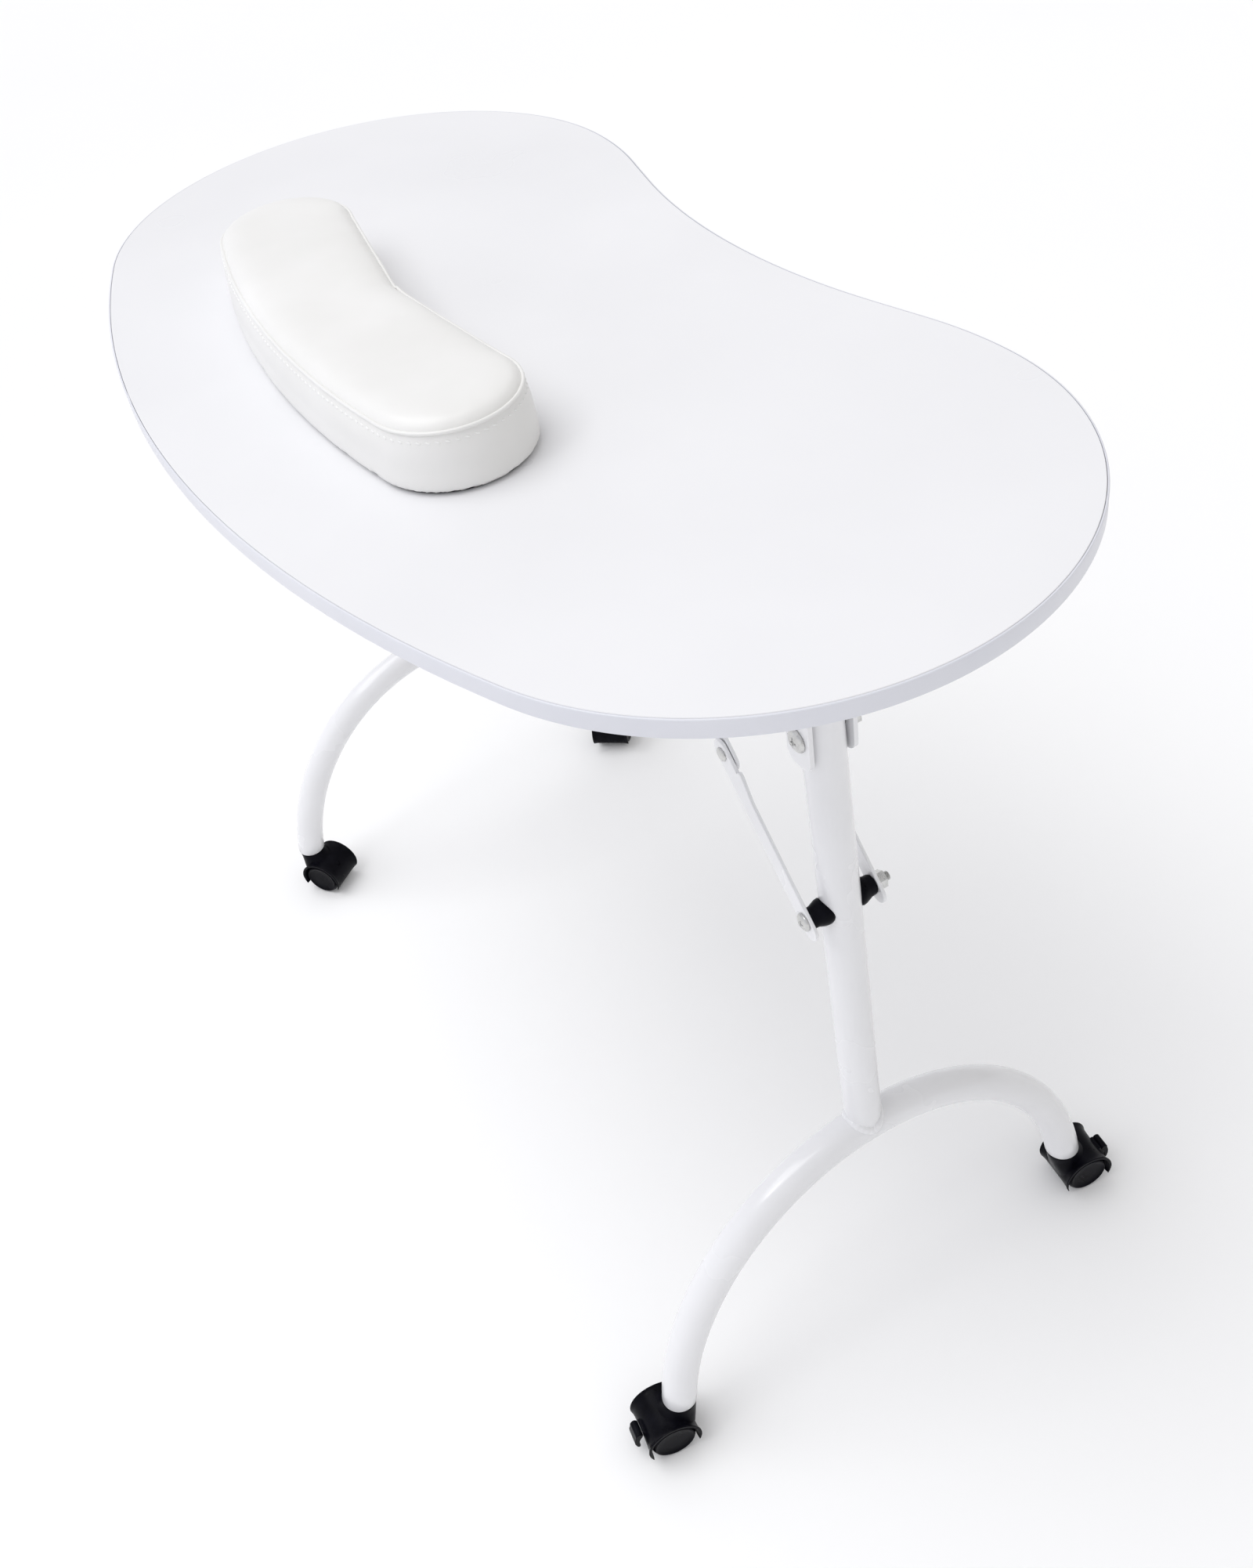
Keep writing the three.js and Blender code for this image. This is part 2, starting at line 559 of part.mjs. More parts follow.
// The brake lever: a knuckle behind the hood with a paddle that hangs from it.
function brakeLever() {
  const { pivotX, pivotZ, knuckle, halfWidth, drop, bulge } = LEVER;
  const [middle, low] = [pivotZ - drop / 2, pivotZ - drop];
  const shape = new THREE.Shape();
  shape.absarc(pivotX, pivotZ, knuckle, Math.PI, 0, true);
  shape.quadraticCurveTo(pivotX + bulge, middle, pivotX + bulge / 2, low);
  shape.lineTo(pivotX, low);
  shape.quadraticCurveTo(pivotX + bulge / 3, middle, pivotX - knuckle, pivotZ);
  return plateXZ(shape, -halfWidth, halfWidth);
}

function addCaster(name, x, y) {
  const caster = new THREE.Group();
  caster.position.set(x, y, 0);
  caster.rotation.z = CASTER_HEADINGS[name];
  table.add(caster);
  addMesh(caster, `${name}_caster_hood`, casterHood(), BLACK_PLASTIC);
  addMesh(caster, `${name}_caster_stem`, casterStem(), BRIGHT_STEEL);
  const axle = moved(rodY(AXLE_RADIUS, -AXLE_HALF_LENGTH, AXLE_HALF_LENGTH), CASTER_TRAIL, 0, WHEEL_RADIUS);
  addMesh(caster, `${name}_caster_axle`, axle, BRIGHT_STEEL);
  const wheel = casterWheel();
  addMesh(caster, `${name}_wheel_left`, wheel, BLACK_PLASTIC);
  const otherWheel = wheel.clone().rotateZ(Math.PI).translate(2 * CASTER_TRAIL, 0, 0);
  addMesh(caster, `${name}_wheel_right`, otherWheel, BLACK_PLASTIC);
  if (BRAKED.includes(name)) {
    addMesh(caster, `${name}_brake_lever`, brakeLever(), BLACK_PLASTIC);
  }
}

// ---------------------------------------------------------------- assembly
addTabletop();
addCushion();
const tubeEndRatio = (TUBE_END_HEIGHT - ARCH_CENTRE_HEIGHT) / ARCH_RISE;
const tubeEndY = ARCH_HALF_SPAN * Math.sqrt(1 - tubeEndRatio * tubeEndRatio);
for (const [name, leg] of Object.entries(LEGS)) {
  addLeg(name, leg);
  const casterX = leg.side * (leg.baseX - TUBE_END_HEIGHT * Math.tan(LEG_LEAN));
  addCaster(`${name}_front`, casterX, LEG_Y - tubeEndY);
  addCaster(`${name}_back`, casterX, LEG_Y + tubeEndY);
}

export default table;
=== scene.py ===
import json
import math

import bmesh
import bpy
import numpy as np
from mathutils import Matrix, Vector, noise
from mathutils.bvhtree import BVHTree
from mathutils.geometry import delaunay_2d_cdt


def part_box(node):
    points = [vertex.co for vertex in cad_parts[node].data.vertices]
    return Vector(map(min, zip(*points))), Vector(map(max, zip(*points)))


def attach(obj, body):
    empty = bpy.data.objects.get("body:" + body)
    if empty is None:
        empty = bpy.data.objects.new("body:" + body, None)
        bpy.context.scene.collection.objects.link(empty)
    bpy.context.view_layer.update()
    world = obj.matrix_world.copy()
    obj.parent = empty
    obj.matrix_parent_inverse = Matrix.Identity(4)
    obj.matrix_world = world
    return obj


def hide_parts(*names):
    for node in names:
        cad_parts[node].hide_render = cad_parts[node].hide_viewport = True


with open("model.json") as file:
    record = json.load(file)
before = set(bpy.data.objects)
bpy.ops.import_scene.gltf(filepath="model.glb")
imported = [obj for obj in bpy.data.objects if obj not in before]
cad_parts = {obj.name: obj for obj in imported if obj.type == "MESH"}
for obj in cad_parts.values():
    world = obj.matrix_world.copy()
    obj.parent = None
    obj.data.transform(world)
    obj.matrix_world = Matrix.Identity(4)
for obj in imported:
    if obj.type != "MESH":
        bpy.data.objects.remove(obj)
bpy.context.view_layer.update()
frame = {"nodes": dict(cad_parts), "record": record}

# Looks of a folding manicure table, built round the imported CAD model. Metres, +Z up, origin on the floor.
# +X points to the near leg and +Y to the hollow side of the top.

MM = 0.001
JOINTS = {joint["name"]: joint for joint in frame["record"]["behaviour"]["joints"]}


# ---------------------------------------------------------------- driving dimensions
BOARD = dict(front_y=-0.2355, front_radius=0.887, front_sweep=21.7, lobe_radius=0.205,
             shoulder_radius=0.290, shoulder_sweep=14.0, hollow_radius=0.580, arc_step=1.2)
CUSHION = dict(front_y=-0.052, front_radius=0.745, front_sweep=12.3, lobe_radius=0.048,
               shoulder_radius=0.048, shoulder_sweep=7.4, hollow_radius=0.020, arc_step=3.0)
CUSHION_PLACE = Matrix.Translation((-0.039, -0.0905, 0.0)) @ Matrix.Rotation(math.radians(-3.3), 4, "Z")
STRAIGHT_STEP = 12 * MM
BAND_THICKNESS = 1.2 * MM
BAND_GAP = 0.3 * MM
TUBE_RADIUS = 13.5 * MM
ARCH_HALF_SPAN = 190.2 * MM
ARCH_RISE = 218.4 * MM
ARCH_CENTRE_HEIGHT = 12.1 * MM
TUBE_END_HEIGHT = 46 * MM
POST_END_RADIUS = 12.6 * MM
WELD_DEPTH = 1.6 * MM
POST_ABOVE_PIVOT = 20 * MM
LINK_HALF_WIDTH = 7.25 * MM
LINK_THICKNESS = 2.5 * MM
STAY_TAIL = 14 * MM
STOP_WIDTH = 4.2 * MM
LOWER_LINK_INNER = 25 * MM
UPPER_LINK_INNER = 21.8 * MM
EAR_OUTER = 17 * MM
RIVET_HEAD_RADIUS = 4.9 * MM
PIN_RADIUS = 3 * MM
STAY_EDGE = 0.45 * MM
WHEEL_RADIUS = 18 * MM
CASTER_TRAIL = 15 * MM
HOOD_RADIUS = 21.8 * MM
HOOD_TIP = math.radians(24)
LEVER_PIVOT = Vector((38.6 * MM, 0, 25 * MM))

LEG_NAMES = ("near", "far")
CASTER_NAMES = ("near_front", "near_back", "far_front", "far_back")
BRAKED = ("near_front", "near_back")


# ---------------------------------------------------------------- materials
def shader_nodes(name):
    material = bpy.data.materials.new(name)
    material.use_nodes = True
    tree = material.node_tree
    shader = tree.nodes["Principled BSDF"]
    coordinates = tree.nodes.new("ShaderNodeTexCoord").outputs["Object"]
    return material, tree, shader, coordinates


def noise_texture(tree, coordinates, scale, detail):
    texture = tree.nodes.new("ShaderNodeTexNoise")
    texture.inputs["Scale"].default_value = scale
    texture.inputs["Detail"].default_value = detail
    tree.links.new(coordinates, texture.inputs["Vector"])
    return texture.outputs["Fac"]


def cells(tree, coordinates, scale):
    texture = tree.nodes.new("ShaderNodeTexVoronoi")
    texture.feature = "DISTANCE_TO_EDGE"
    texture.inputs["Scale"].default_value = scale
    tree.links.new(coordinates, texture.inputs["Vector"])
    return texture.outputs["Distance"]


def blend_colours(tree, factor, low, high):
    ramp = tree.nodes.new("ShaderNodeValToRGB")
    ramp.color_ramp.elements[0].position = 0.3
    ramp.color_ramp.elements[1].position = 0.7
    ramp.color_ramp.elements[0].color = (*low, 1)
    ramp.color_ramp.elements[1].color = (*high, 1)
    tree.links.new(factor, ramp.inputs["Fac"])
    return ramp.outputs["Color"]


def spread(tree, factor, low, high):
    span = tree.nodes.new("ShaderNodeMapRange")
    span.inputs["From Min"].default_value = 0.3
    span.inputs["From Max"].default_value = 0.7
    span.inputs["To Min"].default_value = low
    span.inputs["To Max"].default_value = high
    tree.links.new(factor, span.inputs["Value"])
    return span.outputs["Result"]


def add_bump(tree, shader, height, strength, distance, under=None):
    bump = tree.nodes.new("ShaderNodeBump")
    bump.inputs["Strength"].default_value = strength
    bump.inputs["Distance"].default_value = distance
    tree.links.new(height, bump.inputs["Height"])
    if under is not None:
        tree.links.new(under, bump.inputs["Normal"])
    tree.links.new(bump.outputs["Normal"], shader.inputs["Normal"])
    return bump.outputs["Normal"]


def surface(name, low, high, tone_scale, roughness, texture_scale, texture_depth, strength=0.3, metal=0.0,
            coat=0.0, specular=0.5):
    """A finish whose colour and roughness drift softly and whose surface has one fine noise texture."""
    material, tree, shader, coordinates = shader_nodes(name)
    drift = noise_texture(tree, coordinates, tone_scale, 3.0)
    tree.links.new(blend_colours(tree, drift, low, high), shader.inputs["Base Color"])
    tree.links.new(spread(tree, drift, *roughness), shader.inputs["Roughness"])
    shader.inputs["Metallic"].default_value = metal
    shader.inputs["Coat Weight"].default_value = coat
    shader.inputs["Coat Roughness"].default_value = 0.12
    shader.inputs["Specular IOR Level"].default_value = specular
    fine = noise_texture(tree, coordinates, texture_scale, 5.0)
    add_bump(tree, shader, fine, strength, texture_depth)
    return material


def leather(name):
    """White leatherette: small pressed cells over soft uneven padding."""
    material, tree, shader, coordinates = shader_nodes(name)
    drift = noise_texture(tree, coordinates, 14.0, 3.0)
    tone = blend_colours(tree, drift, (0.825, 0.82, 0.80), (0.865, 0.86, 0.845))
    tree.links.new(tone, shader.inputs["Base Color"])
    tree.links.new(spread(tree, drift, 0.36, 0.46), shader.inputs["Roughness"])
    shader.inputs["Coat Weight"].default_value = 0.12
    shader.inputs["Coat Roughness"].default_value = 0.3
    soft = add_bump(tree, shader, noise_texture(tree, coordinates, 60.0, 2.0), 0.25, 0.0012)
    add_bump(tree, shader, cells(tree, coordinates, 850.0), 0.22, 0.00018, soft)
    return material


LAMINATE = surface("white_laminate", (0.825, 0.825, 0.84), (0.855, 0.855, 0.87), 6.0, (0.27, 0.36),
                   900.0, 0.00006, strength=0.25)
EDGE = surface("edge_plastic", (0.70, 0.71, 0.765), (0.76, 0.765, 0.81), 9.0, (0.3, 0.4), 500.0, 0.00008)
PAINT = surface("white_paint", (0.80, 0.80, 0.815), (0.835, 0.835, 0.85), 12.0, (0.2, 0.3), 260.0, 0.00008,
                strength=0.16, coat=0.35)
BLACK = surface("black_plastic", (0.002, 0.002, 0.0035), (0.005, 0.005, 0.008), 90.0, (0.26, 0.36),
                2600.0, 0.00005, strength=0.2, specular=0.05)
STEEL = surface("bright_steel", (0.50, 0.50, 0.49), (0.66, 0.66, 0.65), 300.0, (0.22, 0.36), 1500.0,
                0.00005, metal=1.0)
DARK = surface("dark_base", (0.012, 0.012, 0.013), (0.035, 0.035, 0.036), 160.0, (0.75, 0.9), 900.0, 0.0003)
THREAD = surface("white_thread", (0.88, 0.88, 0.87), (0.93, 0.93, 0.92), 900.0, (0.5, 0.65), 4000.0, 0.0002)
LEATHER = leather("white_leather")


# ---------------------------------------------------------------- mesh helpers
def mesh_object(name, points, faces):
    mesh = bpy.data.meshes.new(name)
    mesh.from_pydata([tuple(p) for p in points], [], faces)
    mesh.validate()
    piece = bpy.data.objects.new(name, mesh)
    bpy.context.scene.collection.objects.link(piece)
    return piece


def shade(piece, angle=35.0):
    """Faces out, smooth, with sharp edges where the surface turns by more than the angle."""
    solid = bmesh.new()
    solid.from_mesh(piece.data)
    bmesh.ops.triangulate(solid, faces=[face for face in solid.faces if len(face.verts) > 4],
                          ngon_method="EAR_CLIP")
    bmesh.ops.recalc_face_normals(solid, faces=solid.faces)
    solid.to_mesh(piece.data)
    solid.free()
    piece.data.polygons.foreach_set("use_smooth", [True] * len(piece.data.polygons))
    piece.data.set_sharp_from_angle(angle=math.radians(angle))


def finish_piece(piece, body, material, replaces=(), angle=35.0):
    shade(piece, angle)
    piece.data.materials.clear()
    piece.data.materials.append(material)
    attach(piece, body)
    if replaces:
        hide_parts(*replaces)


def rings_object(name, rings, caps=True, loop=False):
    """A skin through rings of equal length; caps close its two ends, loop joins the last to the first."""
    count = len(rings[0])
    points = [p for ring in rings for p in ring]
    faces = []
    for level in range(len(rings) if loop else len(rings) - 1):
        low = level * count
        high = ((level + 1) % len(rings)) * count
        for i in range(count):
            j = (i + 1) % count
            faces.append((low + i, low + j, high + j, high + i))
    if caps and not loop:
        faces.append(tuple(reversed(range(count))))
        faces.append(tuple(range(len(points) - count, len(points))))
    return mesh_object(name, points, faces)


def circle(radius, z, sides=48, shape=None):
    ring = []
    for i in range(sides):
        angle = 2 * math.pi * i / sides
        r = radius if shape is None else shape(angle, radius)
        ring.append(Vector((r * math.cos(angle), r * math.sin(angle), z)))
    return ring


def turned(name, profile, place=Matrix.Identity(4), sides=48):
    """A solid of revolution about its own Z from (radius, z) pairs with radii above zero, capped flat."""
    piece = rings_object(name, [circle(r, z, sides) for r, z in profile])
    piece.data.transform(place)
    return piece


def sideways(side):
    """Turns what was made along +Z to point along +Y for side 1 and along -Y for side -1."""
    return Matrix.Rotation(-side * math.pi / 2, 4, "X")


def arc_points(cx, cz, radius, start, end, count):
    steps = [start + (end - start) * i / (count - 1) for i in range(count)]
    return [(cx + radius * math.cos(a), cz + radius * math.sin(a)) for a in steps]


def plate(name, outline, y0, y1, round_off=0.0):
    """A flat outline in X and Z, given thickness along Y, with softened edges."""
    levels = [(y0, round_off), (y0 + round_off, 0.0), (y1 - round_off, 0.0), (y1, round_off)]
    if round_off == 0:
        levels = [(y0, 0.0), (y1, 0.0)]
    rings = []
    for y, inset in levels:
        rings.append([Vector((x, y, z)) for x, z in inset_outline(outline, inset)])
    return rings_object(name, rings)


def inset_outline(outline, inset):
    """The outline moved inward by the inset, along the bisector at each of its points."""
    if inset == 0:
        return outline
    count = len(outline)
    area = sum(outline[i - 1][0] * outline[i][1] - outline[i][0] * outline[i - 1][1] for i in range(count))
    sign = 1 if area > 0 else -1
    moved = []
    for i in range(count):
        before, here, after = (Vector(outline[(i + k) % count]) for k in (-1, 0, 1))
        tangent = ((here - before).normalized() + (after - here).normalized()).normalized()
        moved.append(tuple(here + Vector((-tangent.y, tangent.x)) * inset * sign))
    return moved


def join_pieces(pieces):
    """Several meshes as one object, each staying a closed body of its own."""
    first = pieces[0]
    solid = bmesh.new()
    for piece in pieces:
        solid.from_mesh(piece.data)
    solid.to_mesh(first.data)
    solid.free()
    for piece in pieces[1:]:
        bpy.data.objects.remove(piece)
    return first


def combine(target, tool, operation):
    """Joins or cuts the target with the tool, exactly, and removes the tool."""
    modifier = target.modifiers.new(operation, "BOOLEAN")
    modifier.object = tool
    modifier.operation = operation
    modifier.solver = "EXACT"
    apply_modifiers(target)
    bpy.data.objects.remove(tool)


def apply_modifiers(piece):
    bpy.context.view_layer.update()
    graph = bpy.context.evaluated_depsgraph_get()
    mesh = bpy.data.meshes.new_from_object(piece.evaluated_get(graph))
    piece.modifiers.clear()
    piece.data = mesh


def soften_node(node, width, material):
    """Gives a CAD node softened edges and a better material; its own mesh stays as it is."""
    piece = frame["nodes"][node]
    bevel = piece.modifiers.new("edge", "BEVEL")
    bevel.width = width
    bevel.segments = 2
    bevel.limit_method = "ANGLE"
    bevel.angle_limit = math.radians(50)
    bevel.harden_normals = True
    dress_node(node, material)


def dress_node(node, material):
    piece = frame["nodes"][node]
    if not piece.data.materials:
        piece.data.materials.append(material)
    for place in piece.material_slots:
        place.link = "OBJECT"
        place.material = material


# ---------------------------------------------------------------- bean outlines
def bean_outline(bean, inset=0.0):
    """Half a bean from the middle of its front to the middle of its hollow, then mirrored."""
    front_sweep = math.radians(bean["front_sweep"])
    shoulder_sweep = math.radians(bean["shoulder_sweep"])
    lobe_x = (bean["front_radius"] - bean["lobe_radius"]) * math.sin(front_sweep)
    shoulder_x = lobe_x - bean["shoulder_radius"] * math.sin(shoulder_sweep)
    straight = (shoulder_x - bean["hollow_radius"] * math.sin(shoulder_sweep)) / math.cos(shoulder_sweep)
    points = [Vector((0, bean["front_y"] + inset))]
    heading = 0.0

    def walk_arc(radius, sweep, heading):
        steps = max(3, math.ceil(abs(sweep) / math.radians(bean["arc_step"])))
        turn = sweep / steps
        chord = 2 * radius * math.sin(abs(turn) / 2)
        for _ in range(steps):
            direction = heading + turn / 2
            points.append(points[-1] + chord * Vector((math.cos(direction), math.sin(direction))))
            heading += turn
        return heading

    heading = walk_arc(bean["front_radius"] - inset, front_sweep, heading)
    heading = walk_arc(bean["lobe_radius"] - inset, math.pi - front_sweep, heading)
    heading = walk_arc(bean["shoulder_radius"] - inset, shoulder_sweep, heading)
    pieces = max(1, round(straight / STRAIGHT_STEP))
    for _ in range(pieces):
        points.append(points[-1] + straight / pieces * Vector((math.cos(heading), math.sin(heading))))
    walk_arc(bean["hollow_radius"] + inset, -shoulder_sweep, heading)
    points[-1].x = 0
    return points + [Vector((-p.x, p.y)) for p in reversed(points[1:-1])]


def bean_rings(bean, profile, place=Matrix.Identity(4)):
    """Parallel outlines of one bean as rings, from (height, inset) pairs."""
    return [[place @ Vector((p.x, p.y, height)) for p in bean_outline(bean, inset)]
            for height, inset in profile]


# ---------------------------------------------------------------- tabletop
def inside(outline, x, y):
    """Whether a point lies inside a closed outline, by counting the edges to its right."""
    crossings = 0
    for a, b in zip(outline, outline[1:] + outline[:1]):
        if (a.y > y) != (b.y > y) and x < a.x + (b.x - a.x) * (y - a.y) / (b.y - a.y):
            crossings += 1
    return crossings % 2 == 1


def slab(name, rings, spacing):
    """A closed slab through level rings, its two flat faces made of even triangles."""
    close = 0.87  # the distance between the grid's rows, as a share of the spacing along them
    count = len(rings[0])
    shell = rings_object(name, rings, caps=False)
    points = [v.co.copy() for v in shell.data.vertices]
    faces = [tuple(p.vertices) for p in shell.data.polygons]
    bpy.data.objects.remove(shell)
    for level in (0, len(rings) - 1):
        outline = [Vector((p.x, p.y)) for p in rings[level]]
        core = [Vector(p) for p in inset_outline([tuple(p) for p in outline], 0.5 * spacing)]
        low_x, high_x = (edge(p.x for p in outline) for edge in (min, max))
        low_y, high_y = (edge(p.y for p in outline) for edge in (min, max))
        grid = [Vector((low_x + (i + 0.5 * (j % 2)) * spacing, low_y + j * spacing * close))
                for j in range(1, int((high_y - low_y) / spacing / close) + 1)
                for i in range(int((high_x - low_x) / spacing) + 1)]
        grid = [p for p in grid if inside(core, p.x, p.y)]
        _, _, triangles, _, _, _ = delaunay_2d_cdt(outline + grid, [], [list(range(count))], 1, 1e-9)
        base = len(points)
        points += [Vector((p.x, p.y, rings[level][0].z)) for p in grid]
        corner = [level * count + i for i in range(count)] + [base + i for i in range(len(grid))]
        faces += [tuple(corner[i] for i in triangle) for triangle in triangles]
    return mesh_object(name, points, faces)


def add_tabletop():
    low, high = (corner.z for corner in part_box("tabletop_board"))
    core = BAND_THICKNESS + BAND_GAP
    soft = 0.35 * MM
    profile = [(low, core + soft), (low + soft, core), (high - soft, core), (high, core + soft)]
    board = slab("tabletop", bean_rings(BOARD, profile), 22 * MM)
    finish_piece(board, "table", LAMINATE, ["tabletop_board"])

    low, high = (corner.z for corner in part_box("edge_band"))
    corner = 0.8 * MM
    turn = [math.radians(15 * step) for step in range(7)]
    profile = [(high - corner + corner * math.sin(a), corner - corner * math.cos(a)) for a in turn]
    profile += [(high, BAND_THICKNESS), (low, BAND_THICKNESS)]
    profile += [(low + corner - corner * math.cos(a), corner - corner * math.sin(a)) for a in turn]
    band = rings_object("edge_banding", bean_rings(BOARD, profile), loop=True)
    finish_piece(band, "table", EDGE, ["edge_band"])


# ---------------------------------------------------------------- legs
def leg_frame(name):
    """Where a leg stands: its upright and leaning frames, and the heights of two joints along the post."""
    pivot = Vector(JOINTS[f"{name}_leg_fold"]["pos_m"])
    stay = Vector(JOINTS[f"{name}_lower_links_turn"]["pos_m"])
    side = 1 if pivot.x > 0 else -1
    lean = math.atan2(abs(stay.x) - abs(pivot.x), pivot.z - stay.z)
    base_x = abs(pivot.x) + pivot.z * math.tan(lean)
    facing = Matrix.Rotation(0 if side > 0 else math.pi, 4, "Z")
    upright = Matrix.Translation((side * base_x, pivot.y, 0)) @ facing
    leaning = upright @ Matrix.Rotation(-lean, 4, "Y")
    pivot_z = pivot.z / math.cos(lean)
    return dict(side=side, upright=upright, leaning=leaning, pivot_z=pivot_z,
                stay_z=pivot_z - (pivot - stay).length)


def arch_centre(angle):
    return Vector((0, ARCH_HALF_SPAN * math.cos(angle), ARCH_CENTRE_HEIGHT + ARCH_RISE * math.sin(angle)))


def arch_tangent(angle):
    return Vector((0, -ARCH_HALF_SPAN * math.sin(angle), ARCH_RISE * math.cos(angle))).normalized()


def tube_ring(angle, radius, leaning=None, end_height=None, sides=48):
    """A ring of the foot arch; at an end of the tube each point slides along the tube to a level cut."""
    centre, tangent = arch_centre(angle), arch_tangent(angle)
    normal = Vector((1, 0, 0)).cross(tangent)
    up = leaning.to_3x3().inverted() @ Vector((0, 0, 1)) if leaning else None
    ring = []
    for i in range(sides):
        turn = 2 * math.pi * i / sides
        point = centre + radius * (math.cos(turn) * Vector((1, 0, 0)) + math.sin(turn) * normal)
        if end_height is not None:
            point += tangent * (end_height - up.dot(point)) / up.dot(tangent)
        ring.append(point)
    return ring


def add_foot_arch(name, leg):
    first = math.asin((TUBE_END_HEIGHT - ARCH_CENTRE_HEIGHT) / ARCH_RISE)
    last = math.pi - first
    steps = 110
    wall = 1.5 * MM
    rim = 1.2 * MM
    bore_depth = 14 * MM
    leaning = leg["leaning"]
    level = TUBE_END_HEIGHT

    def ends(angle):
        return [
            tube_ring(angle, TUBE_RADIUS - wall, leaning, level + bore_depth),
            tube_ring(angle, TUBE_RADIUS - wall, leaning, level),
            tube_ring(angle, TUBE_RADIUS - rim, leaning, level),
            tube_ring(angle, TUBE_RADIUS - 0.35 * rim, leaning, level + 0.35 * rim),
            tube_ring(angle, TUBE_RADIUS, leaning, level + rim),
        ]

    inner = [first + (last - first) * i / steps for i in range(2, steps - 1)]
    rings = ends(first) + [tube_ring(angle, TUBE_RADIUS) for angle in inner] + ends(last)[::-1]
    arch = rings_object(f"{name}_arch_tube", rings)
    arch.data.transform(leaning)
    finish_piece(arch, f"{name}_leg", PAINT, [f"{name}_foot_arch"], angle=50)


def weld_path(turn):
    """The line where the drawn-in end of the post meets the top of the arch."""
    radius = POST_END_RADIUS - WELD_DEPTH
    x, y = radius * math.cos(turn), radius * math.sin(turn)
    centre = ARCH_CENTRE_HEIGHT + ARCH_RISE * math.sqrt(1 - (y / ARCH_HALF_SPAN) ** 2)
    return Vector((x, y, centre + math.sqrt((TUBE_RADIUS - WELD_DEPTH) ** 2 - x * x)))


def closed_cord(name, path, radius_at, sides):
    """A round cord along a closed path of points."""
    count = len(path)
    rings = []
    up = Vector((0, 0, 1))
    for i, point in enumerate(path):
        tangent = (path[(i + 1) % count] - path[i - 1]).normalized()
        across = tangent.cross(up)
        across = across.normalized() if across.length > 1e-6 else Vector((1, 0, 0))
        lift = across.cross(tangent).normalized()
        radius = radius_at(i / count)
        turns = [2 * math.pi * k / sides for k in range(sides)]
        rings.append([point + radius * (math.cos(a) * across + math.sin(a) * lift) for a in turns])
    return rings_object(name, rings, loop=True)


def weld_radius(share):
    """The bead's radius along its path: small even ripples on a slower swell."""
    turn = 2 * math.pi * share
    return (4.1 + 0.12 * math.sin(24 * turn) + 0.25 * math.sin(5 * turn)) * MM


def add_post(name, leg):
    bottom = ARCH_CENTRE_HEIGHT + ARCH_RISE
    top = leg["pivot_z"] + POST_ABOVE_PIVOT
    edge = 0.8 * MM
    profile = [(POST_END_RADIUS, bottom), (POST_END_RADIUS, bottom + 10 * MM), (13.1 * MM, bottom + 18 * MM),
               (TUBE_RADIUS, bottom + 27 * MM), (TUBE_RADIUS, top - edge), (TUBE_RADIUS - edge, top),
               (TUBE_RADIUS - 2.2 * MM, top), (TUBE_RADIUS - 2.6 * MM, top - 0.6 * MM)]
    post = turned(f"{name}_post_tube", profile, leg["leaning"])
    finish_piece(post, f"{name}_leg", PAINT, [f"{name}_leg_post"])

    count = 144
    path = [weld_path(2 * math.pi * i / count) for i in range(count)]
    weld = closed_cord(f"{name}_weld_bead", path, weld_radius, sides=14)
    weld.data.transform(leg["leaning"])
    finish_piece(weld, f"{name}_leg", PAINT)


def slot_cross(angle, radius):
    """A cross-shaped recess of that reach, as a radius at each angle."""
    arm = 0.3 * radius
    return min(radius, arm / max(1e-6, min(abs(math.sin(angle)), abs(math.cos(angle)))))


def bolt_head(name, head, height, drive=True):
    """A round head standing on Z 0 and rising to its crown, with a cross recess."""
    rings = []
    for a in (0, 12, 26, 42, 58, 72):
        angle = math.radians(a)
        rings.append(circle(head * math.cos(angle) ** 0.9, height * (0.18 + 0.82 * math.sin(angle)), 64))
    rings.insert(0, circle(head * 0.97, 0, 64))
    if drive:
        reach = head * 0.42
        crown = rings[-1][0].z
        rings[-1] = circle(reach * 1.12, crown + 0.02 * height, 64)
        rings.append(circle(reach, crown, 64, slot_cross))
        rings.append(circle(reach * 0.72, crown - 0.26 * height, 64, slot_cross))
    return rings_object(name, rings)


def threaded_end(name, radius, start, end):
    """A bolt's tail with thread ridges, along Z."""
    pitch = 0.9 * MM
    count = int((end - start) / pitch)
    profile = [(radius, start)]
    for i in range(count):
        z = start + i * pitch
        profile += [(radius, z + 0.2 * pitch), (radius * 0.84, z + 0.7 * pitch)]
    profile += [(radius * 0.8, end - 0.4 * MM), (radius * 0.6, end)]
    return turned(name, profile, sides=32)


def add_bolt(name, body, place, seat, head, height, shank, tail_end, replaced):
    """A bolt along the place's Y: its head seats on the -Y side and its threaded tail on the +Y side."""
    to_head = place @ Matrix.Translation((0, -seat, 0)) @ sideways(-1)
    to_tail = place @ sideways(1)
    crown = bolt_head(f"{name}_head", head, height)
    crown.data.transform(to_head)
    rod = threaded_end(f"{name}_tail", shank, seat, tail_end)
    rod.data.transform(to_tail)
    shaft = turned(f"{name}_shaft", [(shank, -seat), (shank, seat)], to_tail, sides=32)
    finish_piece(join_pieces([crown, rod, shaft]), body, STEEL, [replaced])


